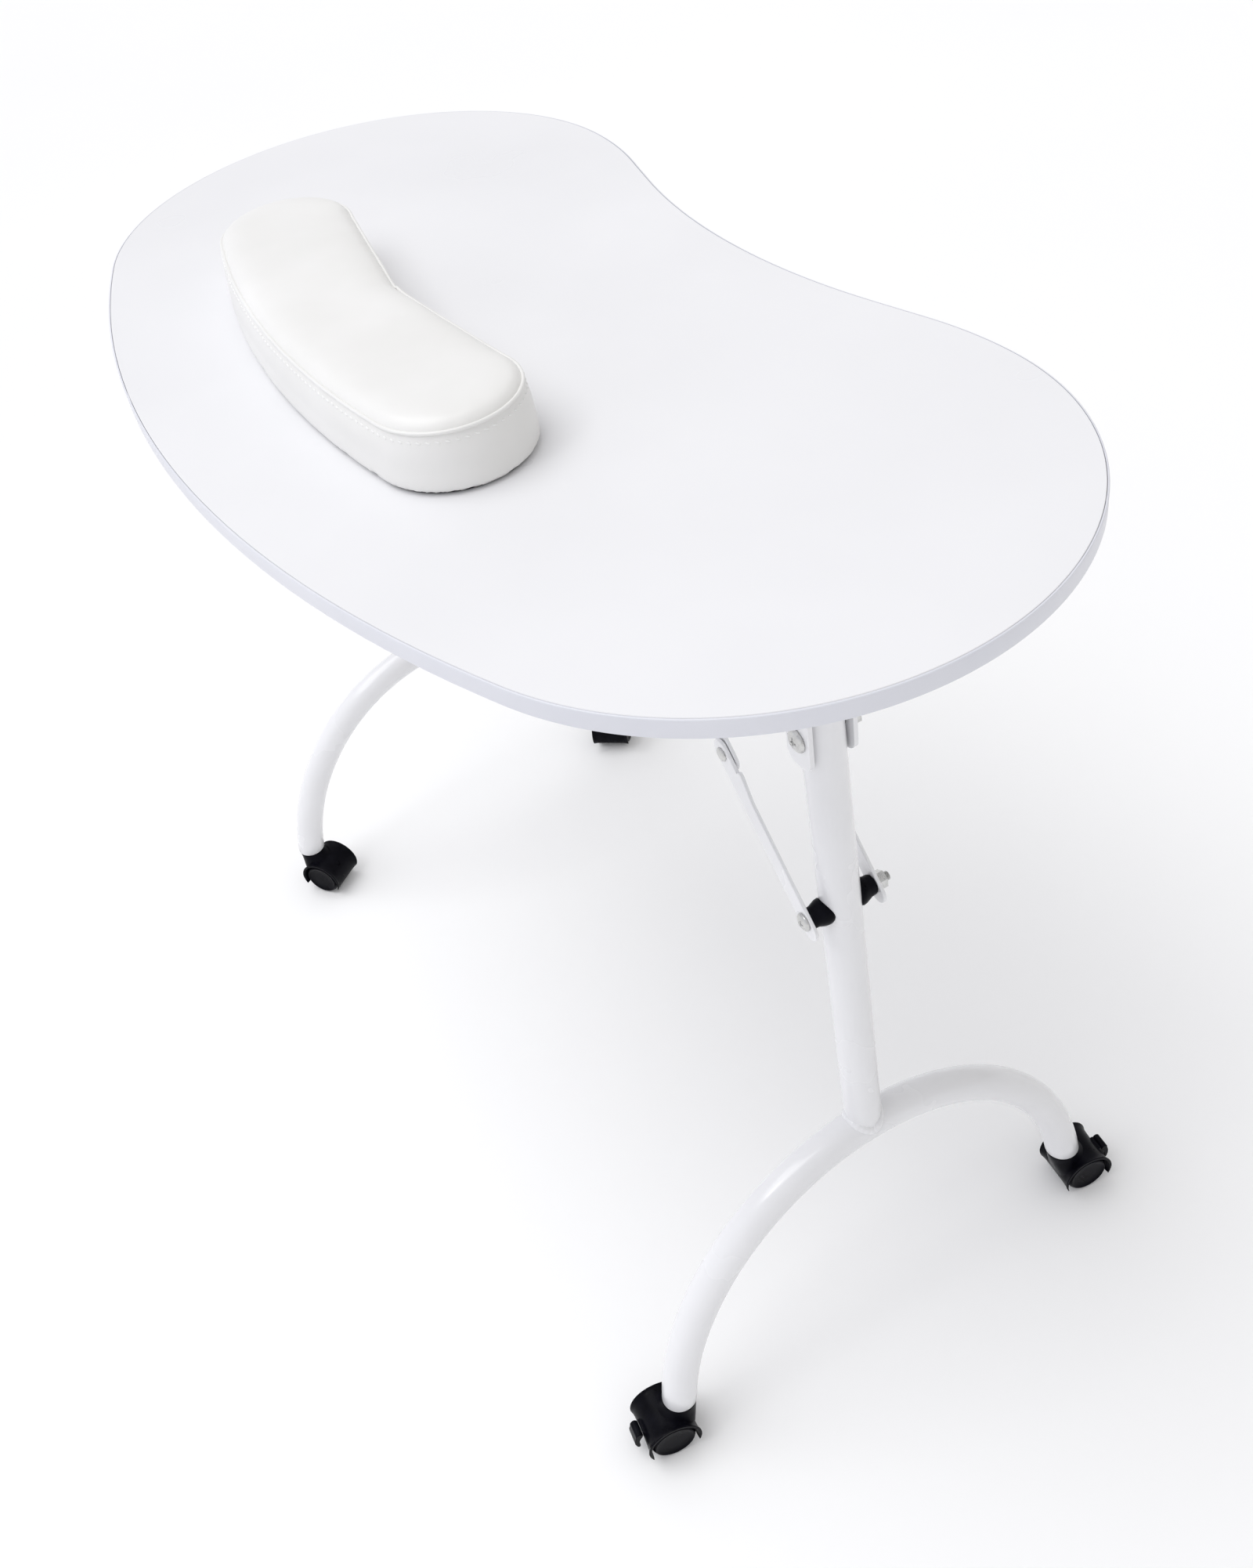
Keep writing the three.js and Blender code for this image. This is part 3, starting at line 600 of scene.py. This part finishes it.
def saddle_piece(name, side):
    """A black plastic spacer between the post and a stay, on one side of the post."""
    end = LOWER_LINK_INNER - 0.3 * MM
    seat = TUBE_RADIUS + 0.1 * MM
    count = 64
    levels = []
    # Radius in millimetres, and share of the way from the post to the stay.
    flare = ((4.6, 0.0), (9.0, 0.0), (9.4, 0.1), (9.1, 0.28), (8.1, 0.48), (7.3, 0.64), (7.1, 0.9),
             (6.5, 1.0), (4.0, 1.0))
    for radius, share in flare:
        r = radius * MM
        ring = []
        for i in range(count):
            a = 2 * math.pi * i / count
            x, z = r * math.cos(a), r * math.sin(a)
            saddle = math.sqrt(seat ** 2 - x * x)
            ring.append(Vector((x, side * (saddle + (end - saddle) * share), z)))
        levels.append(ring)
    return rings_object(name, levels)


def capsule(start_x, end_x, half):
    """A bar with round ends, drawn in X and Z along X."""
    right = arc_points(end_x - half, 0, half, -math.pi / 2, math.pi / 2, 17)
    left = arc_points(start_x + half, 0, half, math.pi / 2, 1.5 * math.pi, 17)
    return right + left


def lower_stay_outline(length):
    """The lower bar, widened on its inner edge just before the end of the upper bar."""
    half = LINK_HALF_WIDTH
    right = arc_points(length + 2.75 * MM, 0, half, math.pi / 2, -math.pi / 2, 17)
    left = arc_points(half - STAY_TAIL, 0, half, -math.pi / 2, -1.5 * math.pi, 17)
    wide = half + STOP_WIDTH
    stop = [(length - 38 * MM, half), (length - 34 * MM, half + 0.4 * MM), (length - 18 * MM, wide),
            (length - 15.2 * MM, wide), (length - 14.4 * MM, wide - 1 * MM), (length - 14.2 * MM, half)]
    return left + stop + right


def add_stays(name, leg):
    """Both folding stays of a leg, with their rivets, spacers and pin."""
    upright = leg["upright"]
    local = upright.inverted()
    stay = local @ Vector(JOINTS[f"{name}_lower_links_turn"]["pos_m"])
    anchor = local @ Vector(JOINTS[f"{name}_upper_links_turn"]["pos_m"])
    low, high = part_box(f"{name}_rivet_front")
    elbow = local @ ((low + high) / 2)
    elbow.y = 0
    rise = math.atan2(anchor.z - stay.z, anchor.x - stay.x)
    lower_length = (elbow - stay).length
    upper_length = (anchor - elbow).length
    sides = {"front": -leg["side"], "back": leg["side"]}
    for end, side in sides.items():
        along = upright @ Matrix.Translation(stay) @ Matrix.Rotation(-rise, 4, "Y")
        y0, y1 = sorted((side * LOWER_LINK_INNER, side * (LOWER_LINK_INNER + LINK_THICKNESS)))
        bar = plate(f"{name}_lower_stay_{end}", lower_stay_outline(lower_length), y0, y1, STAY_EDGE)
        # The stays lean inward as they rise, so the edge towards the post is on their own -Z side.
        bar.data.transform(along @ Matrix.Scale(-1, 4, (0, 0, 1)))
        finish_piece(bar, f"{name}_lower_links", PAINT, [f"{name}_lower_link_{end}"])

        along = upright @ Matrix.Translation(elbow) @ Matrix.Rotation(-rise, 4, "Y")
        y0, y1 = sorted((side * UPPER_LINK_INNER, side * (UPPER_LINK_INNER + LINK_THICKNESS)))
        outline = capsule(-13 * MM, upper_length + LINK_HALF_WIDTH, LINK_HALF_WIDTH)
        bar = plate(f"{name}_upper_stay_{end}", outline, y0, y1, STAY_EDGE)
        bar.data.transform(along)
        finish_piece(bar, f"{name}_upper_links", PAINT, [f"{name}_upper_link_{end}"])

        seat = side * (LOWER_LINK_INNER + LINK_THICKNESS + 0.05 * MM)
        crown = bolt_head(f"{name}_rivet_head_{end}", RIVET_HEAD_RADIUS, 1.9 * MM, drive=False)
        crown.data.transform(upright @ Matrix.Translation(elbow + Vector((0, seat, 0))) @ sideways(side))
        finish_piece(crown, f"{name}_lower_links", STEEL, [f"{name}_rivet_{end}"])

        spacer = saddle_piece(f"{name}_saddle_{end}", side)
        spacer.data.transform(leg["leaning"] @ Matrix.Translation((0, 0, leg["stay_z"])))
        finish_piece(spacer, f"{name}_leg", BLACK, [f"{name}_spacer_{end}"])

    add_stay_pin(name, upright @ Matrix.Translation(anchor))


def add_stay_pin(name, place):
    """The pin through both upper stays and their bracket, with a round head at each end."""
    reach = UPPER_LINK_INNER + LINK_THICKNESS + 0.3 * MM
    heads = []
    for side in (-1, 1):
        crown = bolt_head(f"{name}_pin_head_{side}", RIVET_HEAD_RADIUS, 2 * MM, drive=False)
        crown.data.transform(place @ Matrix.Translation((0, side * reach, 0)) @ sideways(side))
        heads.append(crown)
    profile = [(PIN_RADIUS, -reach), (PIN_RADIUS, reach)]
    shaft = turned(f"{name}_anchor_pin", profile, place @ sideways(1), sides=32)
    finish_piece(join_pieces([shaft, *heads]), "table", STEEL, [f"{name}_stay_pin"])


def add_screws(name, node, inset_x, inset_y):
    """Four pan-head screws through a bracket's plate into the board."""
    low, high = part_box(node)
    plate_under = high.z - LINK_THICKNESS
    heads = []
    rows = (low.y + inset_y, high.y - inset_y)
    corners = [(x, y) for y in rows for x in (low.x + inset_x, high.x - inset_x)]
    for i, (x, y) in enumerate(corners):
        crown = bolt_head(f"{name}_{i}", 3.6 * MM, 2 * MM)
        place = Matrix.Translation((x, y, plate_under)) @ Matrix.Rotation(math.pi, 4, "X")
        crown.data.transform(place @ Matrix.Rotation(0.4 * i, 4, "Z"))
        heads.append(crown)
    finish_piece(join_pieces(heads), "table", STEEL)


def add_leg(name):
    leg = leg_frame(name)
    add_foot_arch(name, leg)
    add_post(name, leg)
    add_stays(name, leg)
    soften_node(f"{name}_leg_bracket", 0.5 * MM, PAINT)
    soften_node(f"{name}_stay_bracket", 0.5 * MM, PAINT)
    for nut in ("pivot_nut", "stay_nut"):
        soften_node(f"{name}_{nut}", 0.5 * MM, STEEL)
    ear = EAR_OUTER + 0.1 * MM
    pivot = leg["leaning"] @ Matrix.Translation((0, 0, leg["pivot_z"]))
    add_bolt(f"{name}_pivot_screw", "table", pivot, ear, 7.9 * MM, 3.5 * MM, 4 * MM,
             EAR_OUTER + 8.8 * MM, f"{name}_pivot_bolt")
    link = LOWER_LINK_INNER + LINK_THICKNESS + 0.1 * MM
    stay = leg["leaning"] @ Matrix.Translation((0, 0, leg["stay_z"]))
    add_bolt(f"{name}_stay_screw", f"{name}_leg", stay, link, 6.4 * MM, 3 * MM, 3.2 * MM,
             link + 10 * MM, f"{name}_stay_bolt")
    add_screws(f"{name}_bracket_screws", f"{name}_leg_bracket", 9 * MM, 8 * MM)
    add_screws(f"{name}_stay_bracket_screws", f"{name}_stay_bracket", 8 * MM, 9 * MM)


# ---------------------------------------------------------------- casters
def caster_place(name):
    """The caster's own frame: stem at the origin, wheels trailing towards +X."""
    swivel = Vector(JOINTS[f"{name}_caster_swivel"]["pos_m"])
    axis = Vector(JOINTS[f"{name}_left_wheel_spin"]["axis"])
    heading = math.atan2(-axis.x, axis.y)
    return Matrix.Translation((swivel.x, swivel.y, 0)) @ Matrix.Rotation(heading, 4, "Z")


def hood_shell(name):
    """The saddle over both wheels: a bent sheet with a flared lip round each wheel and pointed tips."""
    # Distance from the middle plane and flare of the radius, in millimetres.
    stations = [(-20.0, 1.2), (-19.2, 1.35), (-18.2, 0.75), (-15.5, 0.1), (-10.0, -0.25), (-4.5, -0.35)]
    stations += [(-y, flare) for y, flare in reversed(stations)]
    steps = 56
    outer, inner = [], []
    for i in range(steps + 1):
        turn = -HOOD_TIP + (math.pi + 2 * HOOD_TIP) * i / steps
        beyond = max(0.0, abs(turn - math.pi / 2) - (math.pi / 2 - 0.05)) / (HOOD_TIP + 0.05)
        thin = 1.9 * (1 - 0.7 * beyond) * MM
        for ring, drop in ((outer, 0.0), (inner, thin)):
            row = []
            for y, flare in stations:
                radius = HOOD_RADIUS - 1.3 * MM + flare * MM * (1 - 0.5 * beyond) - drop
                row.append(Vector((CASTER_TRAIL + radius * math.cos(turn), y * MM,
                                   WHEEL_RADIUS + radius * math.sin(turn))))
            ring.append(row)
    rings = [outer[i] + inner[i][::-1] for i in range(steps + 1)]
    return rings_object(name, rings)


def hood_web(name):
    """The plate between the two wheels, carrying the axle."""
    radius = HOOD_RADIUS - 1.9 * MM
    outline = arc_points(CASTER_TRAIL, WHEEL_RADIUS, radius, -0.8 * HOOD_TIP, math.pi + 0.8 * HOOD_TIP, 49)
    return plate(name, outline, -4.7 * MM, 4.7 * MM)


def hood_neck(name):
    """The waisted body that spreads from under the tube's end to both flanks of the hood."""
    # Height, centre along X, half length along X and half width along Y, in millimetres.
    levels = [(13, 14.6, 19.3, 18.6), (20, 13.2, 19.6, 18.9), (25, 11.4, 19.2, 18.6), (29, 9.4, 18.4, 17.4),
              (32.5, 7.2, 17.2, 16.0), (36, 4.8, 15.8, 14.6), (39, 2.8, 14.6, 13.6), (42, 1.2, 13.6, 12.9),
              (44.6, 0.3, 12.9, 12.5), (45.7, 0.0, 12.2, 12.0)]
    rings = []
    for z, centre, half_x, half_y in levels:
        square = 2 + 1.2 * max(0.0, (39 - z) / 26)
        ring = []
        for i in range(80):
            angle = 2 * math.pi * i / 80
            c, s = math.cos(angle), math.sin(angle)
            x = math.copysign(abs(c) ** (2 / square), c)
            y = math.copysign(abs(s) ** (2 / square), s)
            ring.append(Vector(((centre + half_x * x) * MM, half_y * y * MM, z * MM)))
        rings.append(ring)
    return rings_object(name, rings)


def box_piece(name, low, high):
    (x0, y0, z0), (x1, y1, z1) = low, high
    outline = [(x0, z0), (x1, z0), (x1, z1), (x0, z1)]
    return plate(name, outline, y0, y1)


def add_hood(name, place):
    hood = hood_shell(f"{name}_hood")
    combine(hood, hood_web(f"{name}_web"), "UNION")
    neck = hood_neck(f"{name}_neck")
    axle = Matrix.Translation((CASTER_TRAIL, 0, WHEEL_RADIUS))
    well_radius = WHEEL_RADIUS + 0.7 * MM
    for side in (-1, 1):
        y0, y1 = sorted((side * 5.0 * MM, side * 30 * MM))
        well = turned(f"{name}_well", [(well_radius, y0), (well_radius, y1)], axle @ sideways(1), sides=64)
        combine(neck, well, "DIFFERENCE")
    combine(hood, neck, "UNION")
    if name in BRAKED:
        lug_low = (32 * MM, -6.2 * MM, LEVER_PIVOT.z - 2 * MM)
        lug_high = (LEVER_PIVOT.x - 3.25 * MM, 6.2 * MM, LEVER_PIVOT.z + 2 * MM)
        combine(hood, box_piece(f"{name}_lug", lug_low, lug_high), "UNION")
        turn = math.radians(40)
        size = 2.3 * MM
        window = box_piece(f"{name}_window", (-2.4 * MM, -size, -size), (2 * MM, size, size))
        across = Matrix.Translation((HOOD_RADIUS * math.cos(turn), 0, HOOD_RADIUS * math.sin(turn)))
        window.data.transform(axle @ across @ Matrix.Rotation(-turn, 4, "Y"))
        combine(hood, window, "DIFFERENCE")
    hood.data.transform(place)
    finish_piece(hood, f"{name}_caster", BLACK, [f"{name}_caster_hood"], angle=32)


def add_wheel(name, side, place):
    """One wheel: a rounded tread, a raised rim and a slightly dished face."""
    # Radius and distance from the caster's middle plane, in millimetres.
    profile = [(0.6, 17.5), (8.0, 17.55), (12.6, 17.7), (14.2, 18.1), (15.2, 18.7), (15.8, 18.75),
               (16.4, 18.3), (17.1, 17.4), (17.7, 16.2), (18.0, 14.6), (18.0, 7.6), (17.8, 6.6), (17.2, 5.9),
               (16.2, 5.6), (9.0, 5.5), (8.6, 6.4), (5.4, 6.4), (5.0, 5.5), (2.6, 5.5), (2.6, 15.4)]
    wheel = turned(f"{name}_disc_{side}", [(r * MM, y * MM) for r, y in profile], sides=72)
    local = Matrix.Translation((CASTER_TRAIL, 0, WHEEL_RADIUS)) @ sideways(1 if side == "left" else -1)
    wheel.data.transform(place @ local)
    finish_piece(wheel, f"{name}_{side}_wheel", BLACK, [f"{name}_wheel_{side}"], angle=40)


def add_lever(name, place):
    """The brake lever: a round knuckle with a hooked paddle under it."""
    x, z = LEVER_PIVOT.x, LEVER_PIVOT.z
    outline = arc_points(x, z, 3 * MM, math.pi, 0, 13)
    # The paddle's outline from the pivot, in millimetres.
    bend = [(3.5, -2.2), (4.5, -5.5), (4.6, -9.5), (3.6, -13.4), (2.4, -14.5), (1.0, -14.3), (0.6, -12.8),
            (0.9, -9.4), (0.4, -6.4), (-0.9, -4.2), (-2.5, -1.9)]
    outline += [(x + dx * MM, z + dz * MM) for dx, dz in bend]
    lever = plate(f"{name}_lever", outline, -6.6 * MM, 6.6 * MM, 0.6 * MM)
    lever.data.transform(place)
    finish_piece(lever, f"{name}_brake", BLACK, [f"{name}_brake_lever"], angle=40)


def add_caster(name):
    place = caster_place(name)
    add_hood(name, place)
    for side in ("left", "right"):
        add_wheel(name, side, place)
    if name in BRAKED:
        add_lever(name, place)
    for node in ("caster_stem", "caster_axle"):
        dress_node(f"{name}_{node}", STEEL)


# ---------------------------------------------------------------- wrist cushion
SEAM_HEIGHT = 40 * MM
COVER_GAP = 1.3 * MM
PIPING_RADIUS = 1.25 * MM
SIM_FRAMES = 20
SWELL_CAP = 1.3 * MM
HEM_HEIGHT = 14 * MM
SEAM_REACH = 5 * MM
SEAM_DEPTH = 1.1 * MM
PULL_DEPTH = 0.55 * MM
STITCH_DROP = 5.5 * MM
STITCHES = 150


def cushion_blank(floor):
    """The pad before it is stuffed: a bean with leaning sides and a low crown."""
    # Height above the board and inset, in millimetres; below zero the bean grows.
    levels = [(COVER_GAP / MM, -3.4), (12, -3.6), (24, -3.2), (34, -1.4), (40, 0), (43.2, 2), (45.1, 5.5),
              (46.2, 11), (46.9, 20), (47.2, 34)]
    profile = [(floor + height * MM, inset * MM) for height, inset in levels]
    return rings_object("wrist_pad", bean_rings(CUSHION, profile, CUSHION_PLACE))


def remesh(piece, size):
    modifier = piece.modifiers.new("remesh", "REMESH")
    modifier.mode = "VOXEL"
    modifier.voxel_size = size
    apply_modifiers(piece)


def relax(piece, times):
    smooth = piece.modifiers.new("smooth", "SMOOTH")
    smooth.factor = 0.5
    smooth.iterations = times
    apply_modifiers(piece)


def stuff(piece, floor):
    """Swells the pad with cloth under pressure. No point passes the cap, and the hem stays where it is."""
    scene = bpy.context.scene
    start = np.empty(len(piece.data.vertices) * 3)
    piece.data.vertices.foreach_get("co", start)
    cloth = piece.modifiers.new("stuffing", "CLOTH")
    cloth.settings.use_pressure = True
    cloth.settings.uniform_pressure_force = 4
    cloth.settings.effector_weights.gravity = 0
    cloth.settings.tension_stiffness = 20
    cloth.settings.compression_stiffness = 20
    cloth.point_cache.frame_start = 1
    cloth.point_cache.frame_end = SIM_FRAMES
    for step in range(1, SIM_FRAMES + 1):
        scene.frame_set(step)
    apply_modifiers(piece)
    end = np.empty_like(start)
    piece.data.vertices.foreach_get("co", end)
    start, end = start.reshape(-1, 3), end.reshape(-1, 3)
    move = end - start
    length = np.linalg.norm(move, axis=1, keepdims=True)
    move *= np.minimum(1, SWELL_CAP / np.maximum(length, 1e-9))
    move *= np.clip((start[:, 2:3] - floor) / HEM_HEIGHT, 0, 1)
    piece.data.vertices.foreach_set("co", (start + move).ravel())
    scene.frame_set(1)


def shape_pad(piece, floor, ceiling, seam):
    """Flat where it rests, drawn in at the seam, with soft pulls in the cover."""
    count = len(seam)
    # A thin ribbon stands for the seam, so that the nearest point on it can be found.
    ribbon = [tuple(p) for p in seam] + [tuple(p + Vector((0, 0, 1e-5))) for p in seam]
    tree = BVHTree.FromPolygons(ribbon, [(i, (i + 1) % count, (i + 1) % count + count, i + count)
                                         for i in range(count)])
    centre = sum(seam, Vector()) / count
    for vertex in piece.data.vertices:
        co = vertex.co.copy()
        distance = tree.find_nearest(co)[3]
        pull = max(0.0, 1 - distance / SEAM_REACH) ** 2
        inward = Vector((centre.x - co.x, centre.y - co.y, 0)).normalized()
        co += inward * (SEAM_DEPTH * pull)
        ripple = noise.noise(Vector((co.x * 28, co.y * 28, co.z * 9)))
        co += inward * (PULL_DEPTH * ripple)
        co.z = min(max(co.z, floor), ceiling)
        vertex.co = co


def settle_hem(piece, tree, floor):
    """Draws the lowest part of the pad onto the clean shape of its blank."""
    for vertex in piece.data.vertices:
        share = 1 - (vertex.co.z - floor) / HEM_HEIGHT
        if share > 0:
            vertex.co = vertex.co.lerp(tree.find_nearest(vertex.co)[0], min(1, 1.5 * share))


def surface_tree(piece):
    points = [vertex.co for vertex in piece.data.vertices]
    return BVHTree.FromPolygons(points, [polygon.vertices for polygon in piece.data.polygons])


def on_surface(points, tree, lift):
    """The points moved onto the surface, and out of it by the lift, with the surface's normals."""
    placed, normals = [], []
    for point in points:
        near, normal, _, _ = tree.find_nearest(point)
        placed.append(near + normal * lift)
        normals.append(normal)
    return placed, normals


def resample(points, count):
    """A closed path as that many points at equal distances."""
    loop = points + [points[0]]
    lengths = [0.0]
    for a, b in zip(loop, loop[1:]):
        lengths.append(lengths[-1] + (b - a).length)
    result = []
    k = 0
    for i in range(count):
        target = lengths[-1] * i / count
        while lengths[k + 1] < target:
            k += 1
        share = (target - lengths[k]) / (lengths[k + 1] - lengths[k])
        result.append(loop[k].lerp(loop[k + 1], share))
    return result


def stitches(name, path, normals, length, radius):
    """Short thread stitches along a path on the cover, each a rounded bar that dips in at both ends."""
    points, faces = [], []
    sides = 6
    # Share of the stitch's length, height above the cover and thickness, both in radii.
    spans = [(-0.5, -0.7, 0.45), (-0.32, 0.25, 1.0), (0.0, 0.45, 1.1), (0.32, 0.25, 1.0), (0.5, -0.7, 0.45)]
    for i, here in enumerate(path):
        after = path[(i + 1) % len(path)]
        tangent = (after - here).normalized()
        normal = normals[i]
        across = tangent.cross(normal).normalized()
        lean = 0.3 * across
        middle = here + (after - here) * 0.5
        base = len(points)
        for share, lift, thick in spans:
            centre = middle + (tangent + lean) * length * share + normal * radius * lift
            for k in range(sides):
                a = 2 * math.pi * k / sides
                points.append(centre + radius * thick * (math.cos(a) * across + math.sin(a) * normal))
        for level in range(len(spans) - 1):
            for k in range(sides):
                low = base + level * sides
                m = (k + 1) % sides
                faces.append((low + k, low + m, low + sides + m, low + sides + k))
        faces.append(tuple(base + k for k in reversed(range(sides))))
        faces.append(tuple(base + (len(spans) - 1) * sides + k for k in range(sides)))
    return mesh_object(name, points, faces)


def add_cushion():
    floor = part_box("tabletop_board")[1].z
    base_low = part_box("cushion_base")[0].z
    pad_low, pad_high = floor + COVER_GAP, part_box("wrist_cushion")[1].z

    base_high = pad_low + 0.4 * MM
    profile = [(base_low, 1 * MM), (base_low + 0.4 * MM, 0.6 * MM), (base_high, 0.6 * MM)]
    base = rings_object("pad_base", bean_rings(CUSHION, profile, CUSHION_PLACE))
    finish_piece(base, "cushion", DARK, ["cushion_base"])

    pad = cushion_blank(floor)
    blank = surface_tree(pad)
    remesh(pad, 4 * MM)
    stuff(pad, pad_low)
    seam = resample(bean_rings(CUSHION, [(floor + SEAM_HEIGHT, 0.0)], CUSHION_PLACE)[0], 420)
    shape_pad(pad, pad_low, pad_high, seam)
    relax(pad, 3)
    subdivide = pad.modifiers.new("subdivide", "SUBSURF")
    subdivide.levels = subdivide.render_levels = 1
    apply_modifiers(pad)
    settle_hem(pad, blank, pad_low)
    relax(pad, 2)
    for vertex in pad.data.vertices:
        vertex.co.z = min(max(vertex.co.z, pad_low), pad_high)
    finish_piece(pad, "cushion", LEATHER, ["wrist_cushion"], angle=70)

    pad_tree = surface_tree(pad)
    line, normals = on_surface(seam, pad_tree, 0.35 * PIPING_RADIUS)
    # The piping's two ends overlap in the middle of the hollow, so one of them stands out a little.
    join = len(line) // 2
    for i in range(16):
        line[join - i] += normals[join - i] * (1.3 * MM * math.exp(-i / 5))
    piping = closed_cord("seam_piping", line, lambda t: PIPING_RADIUS, sides=12)
    finish_piece(piping, "cushion", LEATHER)

    low_line = bean_rings(CUSHION, [(floor + SEAM_HEIGHT - STITCH_DROP, -1.4 * MM)], CUSHION_PLACE)[0]
    path, normals = on_surface(resample(low_line, STITCHES), pad_tree, 0.05 * MM)
    thread = stitches("topstitching", path, normals, 3.0 * MM, 0.5 * MM)
    finish_piece(thread, "cushion", THREAD)


# ---------------------------------------------------------------- stage
def add_floor():
    size = 30.0
    floor = mesh_object("floor", [(-size, -size, 0), (size, -size, 0), (size, size, 0), (-size, size, 0)],
                        [(0, 1, 2, 3)])
    pale = surface("pale_floor", (0.90, 0.90, 0.90), (0.92, 0.92, 0.92), 0.5, (0.85, 0.95), 40.0, 0.0002,
                   specular=0.1)
    shader = pale.node_tree.nodes["Principled BSDF"]
    shader.inputs["Emission Color"].default_value = (1, 1, 1, 1)
    shader.inputs["Emission Strength"].default_value = 0.035
    floor.data.materials.append(pale)


def add_world():
    """Soft light from all round, brighter towards the front of the table than behind it."""
    world = bpy.data.worlds.new("studio")
    world.use_nodes = True
    tree = world.node_tree
    background = tree.nodes["Background"]
    background.inputs["Strength"].default_value = 1.0
    side = tree.nodes.new("ShaderNodeVectorMath")
    side.operation = "DOT_PRODUCT"
    side.inputs[1].default_value = (-0.403, -0.915, 0)
    tree.links.new(tree.nodes.new("ShaderNodeTexCoord").outputs["Generated"], side.inputs[0])
    span = tree.nodes.new("ShaderNodeMapRange")
    span.inputs["From Min"].default_value = -1
    tree.links.new(side.outputs["Value"], span.inputs["Value"])
    ramp = tree.nodes.new("ShaderNodeValToRGB")
    ramp.color_ramp.elements[0].color = (0.56, 0.55, 0.53, 1)
    ramp.color_ramp.elements[1].color = (0.79, 0.80, 0.855, 1)
    tree.links.new(span.outputs["Result"], ramp.inputs["Fac"])
    tree.links.new(ramp.outputs["Color"], background.inputs["Color"])
    bpy.context.scene.world = world


def add_lights():
    """A wide soft sun from above the front, and a weak disk for the highlights."""
    sun = bpy.data.lights.new("window", "SUN")
    sun.energy = 1.27
    sun.angle = math.radians(48)
    hang_light(sun, Vector((0, 0, 0)), Vector((0.26, 0.4, -1.25)))

    disk = bpy.data.lights.new("glint", "AREA")
    disk.shape = "DISK"
    disk.size = 0.5
    disk.energy = 3
    position = Vector((0.2, -1.6, 2.4))
    hang_light(disk, position, Vector((0.05, 0, 0.45)) - position)


def hang_light(data, position, direction):
    lamp = bpy.data.objects.new(data.name, data)
    lamp.location = position
    lamp.rotation_euler = direction.to_track_quat("-Z", "Y").to_euler()
    bpy.context.scene.collection.objects.link(lamp)


def add_camera():
    """Looks down on the table from beyond its near leg, turned a little about the line of sight."""
    azimuth, elevation, roll = (math.radians(a) for a in (66.24, 42.57, -10.54))
    forward = Vector((-math.sin(azimuth) * math.cos(elevation), math.cos(azimuth) * math.cos(elevation),
                      -math.sin(elevation)))
    level = forward.cross(Vector((0, 0, 1))).normalized()
    above = level.cross(forward)
    right = math.cos(roll) * level + math.sin(roll) * above
    up = -math.sin(roll) * level + math.cos(roll) * above
    data = bpy.data.cameras.new("camera")
    data.lens = 36.70
    data.sensor_width = 36
    camera = bpy.data.objects.new("camera", data)
    turn = Matrix((right, up, -forward)).transposed().to_4x4()
    camera.matrix_world = Matrix.Translation((0.9218, -0.3750, 1.2049)) @ turn
    bpy.context.scene.collection.objects.link(camera)
    bpy.context.scene.camera = camera


# ---------------------------------------------------------------- the table
add_camera()
add_floor()
add_world()
add_lights()
bpy.context.scene.view_settings.view_transform = "Standard"
add_tabletop()
for leg_name in LEG_NAMES:
    add_leg(leg_name)
for caster_name in CASTER_NAMES:
    add_caster(caster_name)
add_cushion()
